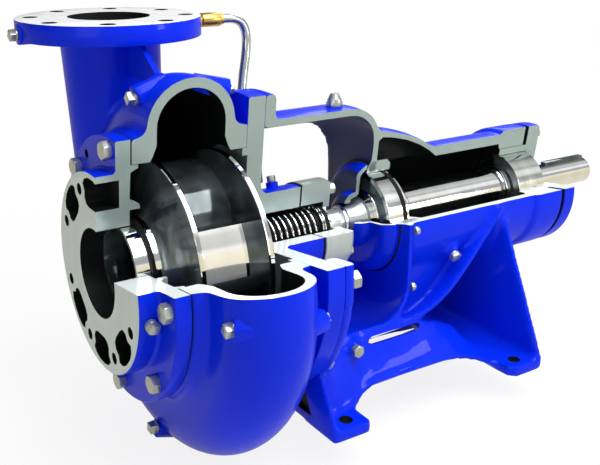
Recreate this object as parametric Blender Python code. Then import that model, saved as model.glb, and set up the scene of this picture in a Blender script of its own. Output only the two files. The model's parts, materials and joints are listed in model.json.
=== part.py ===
"""Slurry pump, cut away to show the inside.

Lengths are in millimetres and scaled by MM when a mesh is made. X runs along the shaft to the
drive end from the face of the suction flange, Z is up, and the cut-away faces -Y. Angles about
the shaft run from straight up towards the cut-away side.
"""
import math

import bmesh
import bpy
from mathutils import Matrix, Vector

MM = 0.001

# Cut-away, facets and clearances
CUT_FROM = 7.5
CUT_TO = 82.5
CUT_REACH = 420.0
STEP = 15.0
GAP = 0.4
RUN_GAP = 0.65
OVERRUN = 5.0
WELD_STEPS = (2e-5, 1e-5, 3e-6, 1e-6, 0.0)
FLAT_ANGLE = 0.4
SMOOTH_ANGLE = 32.0
TURN_SHARE = 0.37

# Pipe flanges, four-inch size
BORE_R = 51.0
FLANGE_R = 114.3
FLANGE_EDGE = 19.05
FLANGE_PITCH_R = FLANGE_R - FLANGE_EDGE
FLANGE_HOLES = 8
FLANGE_HOLE_R = 9.5
FLANGE_T = 24.0

# Impeller radii, which set the casing's opening and its joint face
IMPELLER_OVER = 3.7
IMPELLER_R = FLANGE_R + IMPELLER_OVER
IMPELLER_CLEARANCE = 4.2
SPIGOT_FIT = 0.7
JOINT_FACE = 28.8
EYE_WALL = 4.0
THROAT_R = IMPELLER_R + IMPELLER_CLEARANCE
SPIGOT_R = THROAT_R - SPIGOT_FIT
JOINT_R = THROAT_R + JOINT_FACE
COVER_PITCH_R = THROAT_R + JOINT_FACE / 2
EYE_R = BORE_R + EYE_WALL

# Suction cover
COVER_T = 40.0
COVER_RIM_X = 23.0
COVER_SPIGOT_L = 9.0
COVER_STEP = 1.0
COVER_FACE_X = COVER_T - COVER_STEP
WEAR_RING_WALL = 4.5
WEAR_RING_R1 = BORE_R + COVER_RIM_X
WEAR_RING_R0 = WEAR_RING_R1 - WEAR_RING_WALL
WEAR_RING_L = 11.0
WEAR_RING_X = COVER_T + WEAR_RING_L
POCKET_DEPTH = 27.0
POCKET_R0 = BORE_R + COVER_RIM_X
POCKET_W = 33.0
POCKET_R1 = POCKET_R0 + POCKET_W
POCKET_ANGLES = (0.0, 135.0, 180.0, 225.0, 315.0)
POCKET_HALF_ANGLE = 14.0
POCKET_SHARES = ((0.0, 0.57), (0.18, 1.0), (0.55, 0.9), (0.9, 1.0), (1.0, 0.22))
TAP_R = 6.8
TAP_DEPTH = 20.0
GASKET_T = 0.9
GASKET_W = 5.5

# Bolt rings on the casing and the frame: width over flats, head height, shank radius
JOINT_BOLTS = 8
COVER_FLATS = 22.0
COVER_HEAD = 10.0
COVER_SHANK_R = 6.6
COVER_BOLT = (COVER_FLATS, COVER_HEAD, COVER_SHANK_R)
FRAME_FLATS = 19.0
FRAME_HEAD = 11.0
FRAME_SHANK_R = 6.0
FRAME_BOLT = (FRAME_FLATS, FRAME_HEAD, FRAME_SHANK_R)
GLAND_FLATS = 13.0
GLAND_HEAD = 8.0
GLAND_SHANK_R = 4.0
GLAND_BOLT = (GLAND_FLATS, GLAND_HEAD, GLAND_SHANK_R)
BOLT_HOLE_FIT = 0.6
BOLT_GRIP = 11.0

# Scroll casing
CASE_X0 = COVER_T + GASKET_T + 2 * GAP
CASE_W = 141.3
CASE_X1 = CASE_X0 + CASE_W
CASE_MID = CASE_X0 + CASE_W / 2
SCROLL_OUT = 53.5
SCROLL_IN = 42.0
SCROLL_RISE = 88.8
SCROLL_START_R = THROAT_R + SCROLL_RISE
SCROLL_TURN_SHARE = 0.273
TONGUE_FROM = 270.0
CASE_LIP = 8.3
CASE_WALL_X = 13.3
CASE_INNER_R = THROAT_R - 3.0
CASE_CHEEK = 15.8
CASE_CHEEK_R = THROAT_R + CASE_CHEEK

# Discharge neck and flange
NECK_LEAN = 3.35
NECK_X = CASE_MID - NECK_LEAN
NECK_SET = 17.0
NECK_Y = SCROLL_START_R - NECK_SET
NECK_OUT = 57.0
NECK_IN = 46.0
DISCHARGE_RISE = 45.0
DISCHARGE_Z = SCROLL_START_R + DISCHARGE_RISE
NECK_FLARE = 9.0
NECK_SLIM = 7.0
NECK_SIDES = 18
NECK_LOW_Z = -30.0
RIB_T = 8.0
RIB_DROP = 61.0
RIB_Y = 10.0
RIB_Z = DISCHARGE_Z - RIB_DROP

# Small bosses for plugs on the casing: angle, share of the scroll's first radius
BOSS_R = 11.0
BOSS_SET = 20.3
BOSS_X = CASE_X0 + BOSS_SET
PLUG_HEAD_R = 7.5
PLUG_HEAD_H = 10.0
FRONT_BOSS_SHARES = ((356.0, 0.8815), (92.0, 0.9), (180.0, 1.005), (270.0, 0.948))
REAR_BOSS_SHARES = ((359.0, 0.886), (97.0, 0.91))
FLANGE_TAP_DROP = 16.0
FLANGE_TAP_Z = DISCHARGE_Z - FLANGE_TAP_DROP
FLANGE_TAP_R = 12.0
FLANGE_TAP_OUT = 8.0

# Impeller
EYE_SET = 4.0
EYE_X = COVER_T + EYE_SET
RIM_SET = 30.0
RIM_X = COVER_T + RIM_SET
RIM_T = 6.0
RIM_SPACING = 83.0
BACK_RIM_X = RIM_X + RIM_SPACING
HUB_NOSE_X = RIM_X + RIM_T
HUB_NOSE_R = 19.0
HUB_L = 107.5
HUB_END_X = HUB_NOSE_X + HUB_L
VANES = 3
VANE_PHASE = 151.3
VANE_WRAP = 105.0
VANE_POWER = 0.9
VANE_START_R = 47.0
VANE_HALF_T = 9.0
VANE_EDGE = 3.0
VANE_EMBED = 2.3
VANE_POINTS = 10
HUB_CURVE_SHARES = ((0.074, 0.229), (0.26, 0.28), (0.521, 0.339), (0.651, 0.441), (0.712, 0.593))
HUB_TAIL_SHARES = ((0.80, 0.847), (0.81, 0.508), (0.856, 0.39), (1.0, 0.305))
SHROUD_OUT_SHARES = ((0.39, 0.008), (0.65, 0.095), (0.84, 0.27), (0.965, 0.587))
SHROUD_IN_SHARES = ((0.96, 0.62), (0.86, 0.385), (0.68, 0.175), (0.4, 0.015))
NUT_R = 17.5
NUT_L = 12.0
NUT_X = HUB_NOSE_X - NUT_L

# Back plate and seal chamber
PLATE_X0 = CASE_X1 + GAP
PLATE_T = 22.3
PLATE_X1 = PLATE_X0 + PLATE_T
PLATE_BAND = 31.0
PLATE_R = JOINT_R + PLATE_BAND
PLATE_SPIGOT_L = 5.4
PLATE_LIP_W = 9.0
PLATE_LIP_R = SPIGOT_R - PLATE_LIP_W
PLATE_LIP_SET = 1.6
PLATE_LIP_X = PLATE_X0 + PLATE_LIP_SET
BOX_R = 59.0
BOX_L = 57.9
BOX_X = PLATE_X1 + BOX_L
BOX_BORE = 32.0
BOX_THROAT = 27.0
BOX_THROAT_L = 11.0
BOX_THROAT_X = PLATE_LIP_X + BOX_THROAT_L
BOX_ROOT = 13.0
BOX_ROOT_X = 8.4
FRAME_PITCH_SET = 14.0
FRAME_PITCH_R = PLATE_R - FRAME_PITCH_SET
NIPPLE_SET = 30.3
NIPPLE_X = PLATE_X1 + NIPPLE_SET
NIPPLE_ANGLE = 346.0
NIPPLE_R = 9.0
NIPPLE_BORE = 4.5
NIPPLE_H = 7.0
NIPPLE_TOP = BOX_R + NIPPLE_H

# Seal and gland
GLAND_GASKET_T = 1.7
GLAND_X0 = BOX_X + GLAND_GASKET_T + 2 * GAP
GLAND_L = 43.0
GLAND_X1 = GLAND_X0 + GLAND_L
GLAND_R = 61.0
GLAND_BORE = 25.0
GLAND_LIP = 9.0
GLAND_CHAMFER = 4.0
GLAND_PITCH_R = 47.0
GLAND_SCREWS = 3
GLAND_GASKET_R = 42.0
SLEEVE_SET = 3.5
SLEEVE_X0 = HUB_END_X + SLEEVE_SET
SLEEVE_SHORT = 7.0
SLEEVE_X1 = GLAND_X1 - SLEEVE_SHORT
SLEEVE_WALL = 0.8
BELLOWS_REACH = 100.0
BELLOWS_X0 = GLAND_X1 - BELLOWS_REACH
BELLOWS_L = 74.8
SPRING_R = 26.2
SPRING_WIRE_R = 1.6
SPRING_TURNS = 6.5
SPRING_SET = 3.5
SPRING_X0 = BELLOWS_X0 + SPRING_SET
SPRING_SHORT = 1.8
SPRING_X1 = BELLOWS_X0 + BELLOWS_L - SPRING_SHORT
SPRING_POINTS = 12
SPRING_SIDES = 4
BELLOWS_FLANGE_T = 1.5
BELLOWS_FLANGE_R = 27.6
BELLOWS_R = 23.2
SEAL_RING_R = 28.0
SEAL_RING_T = 1.8
SEAL_RING_PITCH = 3.6
SEAL_FACE_T = 5.7
SEAL_FACE_R = 27.5
SEAL_SEAT_T = 3.0
SEAL_SEAT_R0 = 23.5

# Shaft
SHAFT_THREAD_R = 13.0
SHAFT_THREAD_L = 21.0
SHAFT_THREAD_X = HUB_NOSE_X + SHAFT_THREAD_L
SHAFT_WET_R = 20.0
SHAFT_NECK_R = 17.0
SHAFT_COLLAR_R = 22.0
SHAFT_COLLAR_L = 7.0
SHAFT_SHOULDER_R = 36.0
SHAFT_SHOULDER_L = 7.0
SHAFT_MID_R = 31.0
REAR_SHOULDER_R = 34.0
REAR_SHOULDER_L = 7.0
SHAFT_END_R = 19.05
SHAFT_END_L = 114.0
SHAFT_EDGE = 1.0
END_CHAMFER = 3.0
SLINGER_SET = 17.0
SLINGER_X = GLAND_X1 + SLINGER_SET
SLINGER_L = 6.0
SLINGER_R = 19.4
KEY_L = 82.0
KEY_INSET = 6.0
KEY_W = 10.0
KEY_PROUD = 4.5
KEY_SINK = 4.6
KEYWAY_SINK = 5.0
KEYWAY_RUNOUT = 24.0
KEY_SIDE_FIT = 0.3

# Bearing frame: ring, yoke and bulkhead
RING_X0 = PLATE_X1 + GAP
RING_T = 14.0
RING_X1 = RING_X0 + RING_T
YOKE_SET = 31.0
YOKE_R = PLATE_R - YOKE_SET
YOKE_WALL = 8.5
YOKE_HALF_W = 90.0
YOKE_RAMP_L = 55.0
YOKE_L = 164.9
BULK_X0 = RING_X0 + YOKE_L
BULK_T = 7.0
BULK_X1 = BULK_X0 + BULK_T
SHAFT_NECK_SET = 25.0
SHAFT_NECK_X = BULK_X0 - SHAFT_NECK_SET
BULK_R0 = 76.0
YOKE_BEND_L = 39.0
YOKE_BEND_H = 34.0
YOKE_BEND_SHARES = ((0.33, 0.09), (0.63, 0.32), (0.83, 0.62), (1.0, 1.0))
BULK_BOLT_R = 96.0
BULK_BOLT_ANGLES = (92.0, 126.0, 180.0, 234.0, 268.0)
ARM_FLARE_SHARES = ((0.0, 1.65), (0.22, 1.65), (0.31, 1.4), (0.47, 1.2), (0.8, 1.06), (1.2, 1.0))

# Bearings: start, width, bore and outside radius of each
FRONT_X0 = BULK_X0 - BULK_T
FRONT_W = 22.5
FRONT_BORE = 27.5
FRONT_R = 60.0
FRONT_PITCH_R = 44.0
FRONT_BALL_R = 6.1
FRONT_BALLS = 11
BEARING_SPACING = 241.0
REAR_X0 = FRONT_X0 + BEARING_SPACING
REAR_W = 50.0
REAR_BORE = 22.5
REAR_R = 49.5
REAR_PITCH_R = 35.5
REAR_BALL_R = 4.1
REAR_BALLS = 8
REAR_ROW_SPACING = 16.0
CAGE_HALF_T = 0.9
BALL_PHASE = 11.0
SEAT_FIT = 0.5
RACE_WALL_SHARE = 0.22
RACE_LAND_SHARE = 0.25
BAND_T = 5.7
BAND_WALL = 5.5
SNAP_T = 2.2
SNAP_FIT = 0.8
FRONT_X1 = FRONT_X0 + FRONT_W
REAR_X1 = REAR_X0 + REAR_W
FRONT_SEAT_R = FRONT_R + SEAT_FIT
REAR_SEAT_R = REAR_R + SEAT_FIT

# Barrel, hood, scoop and sump
BARREL_R = 82.0
BARREL_IN = 68.0
CART_BORE_L = 47.0
BARREL_X1 = REAR_X0 + CART_BORE_L - EYE_WALL
REAR_BOSS_R = 86.0
REAR_BOSS_L = 36.0
BOSS_TAPER_L = 12.0
FRONT_BOSS_R = 70.0
FRONT_BOSS_SET = 6.0
FRONT_BOSS_X = BULK_X0 - FRONT_BOSS_SET
SEAT_STOP_SET = 9.8
SEAT_STOP_X = FRONT_X1 + SEAT_STOP_SET
SEAT_STOP_L = 7.7
SNAP_SEAT = 7.0
SEAT_STOP_R = FRONT_R - SNAP_SEAT
CART_BORE = 60.0
CORE_TAPER = 3.0
HOOD_R = 44.0
HOOD_IN = 34.0
HOOD_X0 = BULK_X0 + CORE_TAPER
HOOD_L = 110.0
HOOD_TOP = 119.0
HOOD_SHARES = ((0.0, 1.0), (0.21, 0.966), (0.373, 0.924), (0.51, 0.882), (0.673, 0.815), (0.836, 0.731), (1.0, 0.664))
HOOD_CORE_SHARES = ((0.045, 0.882), (0.10, 0.92), (0.282, 0.89), (0.473, 0.84), (0.682, 0.756), (0.845, 0.664), (1.0, 0.555))
SCOOP_T = 8.0
SCOOP_COLUMNS = 8
SCOOP_SHARES = ((0.404, 0.596, 0.143), (0.513, 0.599, 0.142), (0.569, 0.585, 0.13), (0.642, 0.54, 0.105),
                (0.716, 0.455, 0.075), (0.787, 0.34, 0.045), (0.866, 0.18, 0.015), (0.934, 0.045, 0.0),
                (0.957, -0.015, 0.0))
SUMP_HALF_W = 60.0
SUMP_CORE_HALF_W = 50.0
SUMP_FLOOR = 5.0
SUMP_CORE_FLOOR = 15.0
SUMP_TOP_Z = -36.0
SUMP_SHARES = (0.489, 0.569, 0.642, 0.716, 0.787, 0.848)
SUMP_CORE_SHARES = (0.516, 0.569, 0.642, 0.716, 0.766)
SUMP_COLUMNS = 6

# Pedestal: plates, skirt and feet
AXIS_H = 200.0
FOOT_HALF_W = 166.0
PEDESTAL_L = 339.4
PEDESTAL_X1 = RING_X0 + PEDESTAL_L
WALL_T = 8.0
FOOT_INSET = 0.5
ANKLE_H = 16.0
FRONT_WAIST = 132.0
FRONT_WAIST_Z = -125.0
REAR_WAIST = 80.0
PLATE_HOLE_SET = 17.0
PLATE_HOLE_R = PLATE_R - PLATE_HOLE_SET
PAD_T = 14.0
WINDOW_MARGIN = 5.5
WINDOW_R = PLATE_R + WINDOW_MARGIN
WINDOW_Z = PAD_T - AXIS_H - GAP
WINDOW_ANGLES = (50.0, 60.0, 70.0, 78.0)
WINDOW_SHARES = ((0.711, 1.0), (0.627, 0.842))
WINDOW_INNER_SHARE = 0.217
SKIRT_SHARES = (
    (0.012, 0.904, 0.95, 0.765, 0.67, 0.93), (0.08, 0.904, 0.95, 0.735, 0.655, 0.9175), (0.13, 0.892, 0.95, 0.651, 0.615, 0.83),
    (0.174, 0.789, 0.93, 0.602, 0.61, 0.7725), (0.224, 0.711, 0.885, 0.566, 0.615, 0.753), (0.277, 0.693, 0.86, 0.542, 0.6125, 0.7515),
    (0.572, 0.693, 0.855, 0.518, 0.63, 0.7515), (0.689, 0.711, 0.86, 0.482, 0.70, 0.765), (0.766, 0.747, 0.89, 0.422, 0.77, 0.81),
    (0.813, 0.807, 0.92, 0.361, 0.84, 0.865), (0.848, 0.88, 0.95, 0.301, 0.89, 0.90), (0.89, 0.904, 0.95, 0.241, 0.92, 0.9225),
    (0.987, 0.904, 0.95, 0.241, 0.9225, 0.925))
SKIRT_INNER_SHARES = (0.0, 0.5, 1.0)
SKIRT_OUTER_SHARES = (0.4, 0.75, 1.0)
SKIRT_POWER = 1.6
PAD_L = 55.0
PAD_INNER = 104.0
PAD_CORNER = 9.0
PAD_ROUND_SHARES = ((0.89, 0.675), (1.0, 0.783))
FOOT_HOLE_R = 9.5
FOOT_HOLE_Y = 147.0
FOOT_HOLE_INSET = 29.3
SKIRT_CLEAR_Z = -150.0
SLOT_SET = 111.9
SLOT_X0 = RING_X0 + SLOT_SET
SLOT_L = 68.0
SLOT_H = 12.0
SLOT_Z = -132.0
SLOT_Y0 = 82.0
SLOT_Y1 = 125.0
DRAIN_SET = 92.0
DRAIN_X = BULK_X0 + DRAIN_SET
DRAIN_ANGLE = 126.0
DRAIN_R = 90.0
DRAIN_BOSS_R = 10.0
DRAIN_SHANK_R = 4.6
DRAIN_HEAD_R = 8.2
LUG_SET = 78.9
LUG_X = RING_X0 + LUG_SET
LUG_Y = -104.0
LUG_Z = -129.0
LUG_R = 12.0
LUG_ROOT = 26.0
LUG_SHANK_R = 5.0
LUG_HEAD_R = 9.8
LUG_HEAD_H = 9.0
PLUG_HEAD = 8.0
TAPPED = 10.0
BREATHER_SET = 53.0
BREATHER_X = BULK_X0 - BREATHER_SET
BREATHER_STEM_R = 5.8
BREATHER_R = 10.5
BREATHER_TOP_R = 6.0
BREATHER_RIM = 7.0
BREATHER_H = 17.0

# Front bearing cover: a cup whose outline runs inward from its rim
CUP_SET = 37.0
CUP_X0 = BULK_X0 - CUP_SET
CUP_BORE = 23.0
CUP_RIM_R = 72.0
CUP_OUT_SHARES = ((0.0, 0.08), (0.13, 0.20), (0.52, 0.29), (0.49, 0.69), (0.59, 0.84), (0.78, 0.94), (1.0, 1.0))
CUP_IN_SHARES = ((1.0, 0.88), (0.75, 0.78), (0.69, 0.69), (0.69, 0.20), (0.29, 0.10), (0.29, 0.0))
CUP_SEAT_GAP = 0.4

# Rear cartridge
CART_SPIGOT_SET = 2.0
CART_SPIGOT_X = REAR_X0 - CART_SPIGOT_SET
CART_STANDOFF = 7.0
CART_FLANGE_X = BARREL_X1 + CART_STANDOFF
CART_T = 23.0
CART_X1 = CART_FLANGE_X + CART_T
CART_R = 82.0
CART_FIT = 0.5
CART_LIP_T = 10.0
CART_BOLT_PITCH_R = 72.0
CART_BOLTS = 6
CART_HEAD_R = 7.5
CART_HEAD_H = 7.0
SEAL_POCKET_R = 33.0
OIL_SEAL_T = 8.5
OIL_SEAL_R = 32.0
OIL_SEAL_SET = 3.5
OIL_SEAL_X = REAR_X1 + OIL_SEAL_SET

# Flush line: the tube's route is chosen by hand
TUBE_R = 5.2
TUBE_SIDES_LEVEL = 3
TUBE_CUTS = 3
TUBE_ROUTE = ((272.0, 194.0, 243.0), (288.0, 194.0, 243.0), (301.0, 194.0, 237.0), (307.0, 193.0, 222.0),
              (308.0, 188.0, 190.0), (304.0, 178.0, 140.0), (292.0, 150.0, 100.0), (276.0, 112.0, 88.0),
              (256.0, 78.0, 68.0), (244.0, 60.0, 52.0))
FITTING_DROP = 13.0
FITTING_Z = DISCHARGE_Z - FITTING_DROP
FITTING_STEM_R = 7.0
FITTING_HEX_R = 9.5
FITTING_CAP_R = 8.6
FITTING_HEX_L = 14.0
FITTING_STEM_L = 14.7
FITTING_HEX_X = NECK_X + FLANGE_R + FITTING_STEM_L
ELBOW_R = 7.5
ELBOW_L = 17.4

# Square plugs: head width over flats, collar height, head height
PLUG_COLLAR_SHARE = 0.625
FLANGE_PLUG_W = 12.0
FLANGE_PLUG_COLLAR = 3.0
FLANGE_PLUG_HEAD = 9.0
FLANGE_PLUG = (FLANGE_PLUG_W, FLANGE_PLUG_COLLAR, FLANGE_PLUG_HEAD)
GAUGE_PLUG_W = 11.0
GAUGE_PLUG_COLLAR = 6.0
GAUGE_PLUG_HEAD = 6.0
GAUGE_PLUG = (GAUGE_PLUG_W, GAUGE_PLUG_COLLAR, GAUGE_PLUG_HEAD)
GAUGE_X = 12.0
GAUGE_ANGLE = 100.0

# Finishes: colour, roughness, metallic
FINISHES = {
    "blue": ((0.006, 0.028, 0.60, 1.0), 0.25, 0.0),
    "zinc": ((0.50, 0.53, 0.50, 1.0), 0.35, 0.9),
    "rubber": ((0.012, 0.012, 0.012, 1.0), 0.45, 0.0),
    "brass": ((0.72, 0.58, 0.36, 1.0), 0.3, 0.9),
    "gland": ((0.58, 0.63, 0.60, 1.0), 0.3, 0.6),
    "chrome": ((0.85, 0.86, 0.86, 1.0), 0.08, 1.0),
    "steel": ((0.72, 0.74, 0.73, 1.0), 0.15, 1.0),
}


# Drawing helpers

def at(x, r, angle):
    """Point at radius r from the shaft axis."""
    a = math.radians(angle)
    return Vector((x, -r * math.sin(a), r * math.cos(a)))


def along(start, length, shares, radius, more=0.0):
    """Outline points from shares of a length and of a radius above a base radius."""
    return [(start + length * a, more + radius * b) for a, b in shares]


def arc(x, r, radius, a0, a1, count):
    turn = [math.radians(a0 + (a1 - a0) * k / count) for k in range(count + 1)]
    return [(x + radius * math.cos(t), r + radius * math.sin(t)) for t in turn]


def solid(name, bm):
    """Closes, orients and scales a drawn body and makes it an object."""
    loose = [e for e in bm.edges if not e.link_faces]
    bmesh.ops.delete(bm, geom=loose, context="EDGES")
    bmesh.ops.recalc_face_normals(bm, faces=bm.faces)
    if bm.calc_volume(signed=True) < 0:
        bmesh.ops.reverse_faces(bm, faces=bm.faces)
    bmesh.ops.scale(bm, vec=(MM, MM, MM), verts=bm.verts)
    mesh = bpy.data.meshes.new(name)
    bm.to_mesh(mesh)
    bm.free()
    ob = bpy.data.objects.new(name, mesh)
    bpy.context.scene.collection.objects.link(ob)
    return ob


def turned(name, outline, start=None, end=None):
    """Spins a closed (x, r) outline about the shaft; with no angles it goes all the way round."""
    full = start is None
    a0, a1 = (CUT_TO, CUT_TO + 360.0) if full else (start, end)
    bm = bmesh.new()
    row = [bm.verts.new(at(x, r, a0)) for x, r in outline]
    ring = [bm.edges.new(pair) for pair in zip(row, row[1:] + row[:1])]
    steps = max(3, round((a1 - a0) / STEP))
    bmesh.ops.spin(bm, geom=row + ring, cent=(0, 0, 0), axis=(1, 0, 0), angle=math.radians(a1 - a0), steps=steps, use_merge=full)
    bmesh.ops.remove_doubles(bm, verts=bm.verts, dist=MM)
    bmesh.ops.dissolve_degenerate(bm, dist=MM, edges=bm.edges)
    if not full:
        bmesh.ops.holes_fill(bm, edges=[e for e in bm.edges if e.is_boundary], sides=0)
    return solid(name, bm)


def cut_turned(name, outline):
    """A turned part of the fixed half, left out in the cut-away."""
    return turned(name, outline, CUT_TO, 360.0 + CUT_FROM)


def bar(name, a, b, radius, sides=16, end_radius=None, phase=TURN_SHARE):
    """Round or many-sided bar from a to b."""
    a, b = Vector(a), Vector(b)
    d = b - a
    turn = Matrix.Rotation(2 * math.pi * phase / sides, 4, "Z")
    place = Matrix.Translation((a + b) / 2) @ d.to_track_quat("Z", "Y").to_matrix().to_4x4() @ turn
    bm = bmesh.new()
    bmesh.ops.create_cone(bm, cap_ends=True, segments=sides, radius1=radius, radius2=radius if end_radius is None else end_radius,
                          depth=d.length, matrix=place)
    return solid(name, bm)


def block(name, low, high):
    bm = bmesh.new()
    low, high = Vector(low), Vector(high)
    size = high - low
    bmesh.ops.create_cube(bm, size=1.0, matrix=Matrix.Translation((low + high) / 2) @ Matrix.Diagonal((*size, 1.0)))
    return solid(name, bm)


def prism(name, outline, low, high, axis):
    """Pulls an outline, given in the two other axes, along one axis."""
    bm = bmesh.new()
    points = [list(p) for p in outline]
    for p in points:
        p.insert(axis, low)
    face = bm.faces.new([bm.verts.new(p) for p in points])
    pulled = bmesh.ops.extrude_face_region(bm, geom=[face])["geom"]
    pull = Vector((0, 0, 0))
    pull[axis] = high - low
    bmesh.ops.translate(bm, vec=pull, verts=[v for v in pulled if isinstance(v, bmesh.types.BMVert)])
    return solid(name, bm)


def loft(name, rings):
    """Skins a run of rings and closes both ends."""
    bm = bmesh.new()
    rows = [[bm.verts.new(p) for p in ring] for ring in rings]
    count = len(rows[0])
    for a, b in zip(rows, rows[1:]):
        for j in range(count):
            bm.faces.new((a[j], a[(j + 1) % count], b[(j + 1) % count]))
            bm.faces.new((a[j], b[(j + 1) % count], b[j]))
    bm.faces.new(rows[0])
    bm.faces.new(rows[-1])
    return solid(name, bm)


def plate(name, rows, offset):
    """A curved plate: a grid laid over rows of points, pulled by offset(row) to its thickness."""
    bm = bmesh.new()
    rows = [[Vector(p) for p in row] for row in rows]
    columns = len(rows[0])
    verts = bmesh.ops.create_grid(bm, x_segments=columns - 1, y_segments=len(rows) - 1, size=1.0)["verts"]
    which = {}
    for k, v in enumerate(verts):
        i, j = divmod(k, columns)
        v.co = rows[i][j]
        which[v.co.copy().freeze()] = i
    bmesh.ops.triangulate(bm, faces=bm.faces, quad_method="FIXED")
    pulled = bmesh.ops.extrude_face_region(bm, geom=bm.faces[:])["geom"]
    for v in pulled:
        if isinstance(v, bmesh.types.BMVert):
            v.co += offset(which[v.co.copy().freeze()])
    return solid(name, bm)


def ring_points(centre, radius, count, across, up):
    turn = [2 * math.pi * k / count for k in range(count)]
    return [Vector(centre) + Vector(across) * radius * math.cos(t) + Vector(up) * radius * math.sin(t) for t in turn]


def boolean(ob, tools, operation="DIFFERENCE"):
    """One exact step with all the tools, which are then removed."""
    group = bpy.data.collections.new("tools")
    for tool in tools:
        group.objects.link(tool)
    modifier = ob.modifiers.new("boolean", "BOOLEAN")
    modifier.operation = operation
    modifier.solver = "EXACT"
    modifier.operand_type = "COLLECTION"
    modifier.collection = group
    bpy.context.view_layer.update()
    graph = bpy.context.evaluated_depsgraph_get()
    mesh = bpy.data.meshes.new_from_object(ob.evaluated_get(graph))
    ob.modifiers.clear()
    ob.data = mesh
    for tool in tools:
        bpy.data.objects.remove(tool, do_unlink=True)
    bpy.data.collections.remove(group)
    return ob


def joined(name, obs):
    """Several separate closed bodies as one tool."""
    bm = bmesh.new()
    for ob in obs:
        bm.from_mesh(ob.data)
        bpy.data.objects.remove(ob, do_unlink=True)
    mesh = bpy.data.meshes.new(name)
    bm.to_mesh(mesh)
    bm.free()
    tool = bpy.data.objects.new(name, mesh)
    bpy.context.scene.collection.objects.link(tool)
    return tool


def wedge(x0, x1):
    """The sector that the cut-away takes out."""
    corners = [at(0, CUT_REACH, a) for a in (CUT_FROM, CUT_TO)]
    return prism("wedge", [(0, 0)] + [(c.y, c.z) for c in corners], x0, x1, 0)


def bolt_angles(count, phase=0.0):
    """Angles of a bolt ring, without those inside the cut-away."""
    every = [(phase + 360.0 * k / count) % 360.0 for k in range(count)]
    return [a for a in every if not CUT_FROM < a < CUT_TO]


def holes(x0, x1, pitch, angles, radius, sides=8, phase=TURN_SHARE):
    return [bar("hole", at(x0, pitch, a), at(x1, pitch, a), radius, sides, phase=phase) for a in angles]


def hex_bolt(name, seat, tip, pitch, angle, size, out):
    """Hexagon bolt: its head on the out side of the seat, its shank reaching to the tip."""
    flats, head, shank = size
    a = bar(name, at(seat + out * GAP, pitch, angle), at(seat + out * (GAP + head), pitch, angle), flats / math.sqrt(3), 6)
    b = bar("shank", at(seat + out * head / 2, pitch, angle), at(tip, pitch, angle), shank, 8)
    return boolean(a, [b], "UNION")


# Wet end

def scroll_r(angle):
    """Outer radius of the scroll, which grows with the angle from the top."""
    return SCROLL_START_R * (1 + SCROLL_TURN_SHARE * angle / 360.0)


def case_outline(angle, inside):
    centre_r = scroll_r(angle) - SCROLL_OUT
    if inside:
        left = [(CASE_X0 + CASE_WALL_X, BORE_R), (CASE_X0 + CASE_WALL_X, CASE_INNER_R),
                (CASE_X0 + CASE_WALL_X + CASE_LIP, CASE_INNER_R), (CASE_MID - SCROLL_IN, CASE_CHEEK_R)]
        bow = arc(CASE_MID, centre_r, SCROLL_IN, 180, 0, 6)
    else:
        left = [(CASE_X0, BORE_R), (CASE_X0, JOINT_R), (CASE_X0 + CASE_LIP, JOINT_R + GAP), (CASE_X0 + CASE_LIP + CORE_TAPER * 2, JOINT_R + CORE_TAPER)]
        bow = arc(CASE_MID, centre_r, SCROLL_OUT, 180, 0, 8)
    right = [(2 * CASE_MID - x, r) for x, r in reversed(left)]
    return left + bow + right


def scroll(name, start, end, lead, inside):
    count = round((end - start) / STEP)
    turns = [start + (end - start) * k / count for k in range(count + 1)]
    return loft(name, [[at(x, r, a) for x, r in case_outline(a - lead, inside)] for a in turns])


def neck(name, stations):
    return loft(name, [ring_points((x, y, z), r, NECK_SIDES, (1, 0, 0), (0, 1, 0)) for z, r, x, y in stations])


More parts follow.
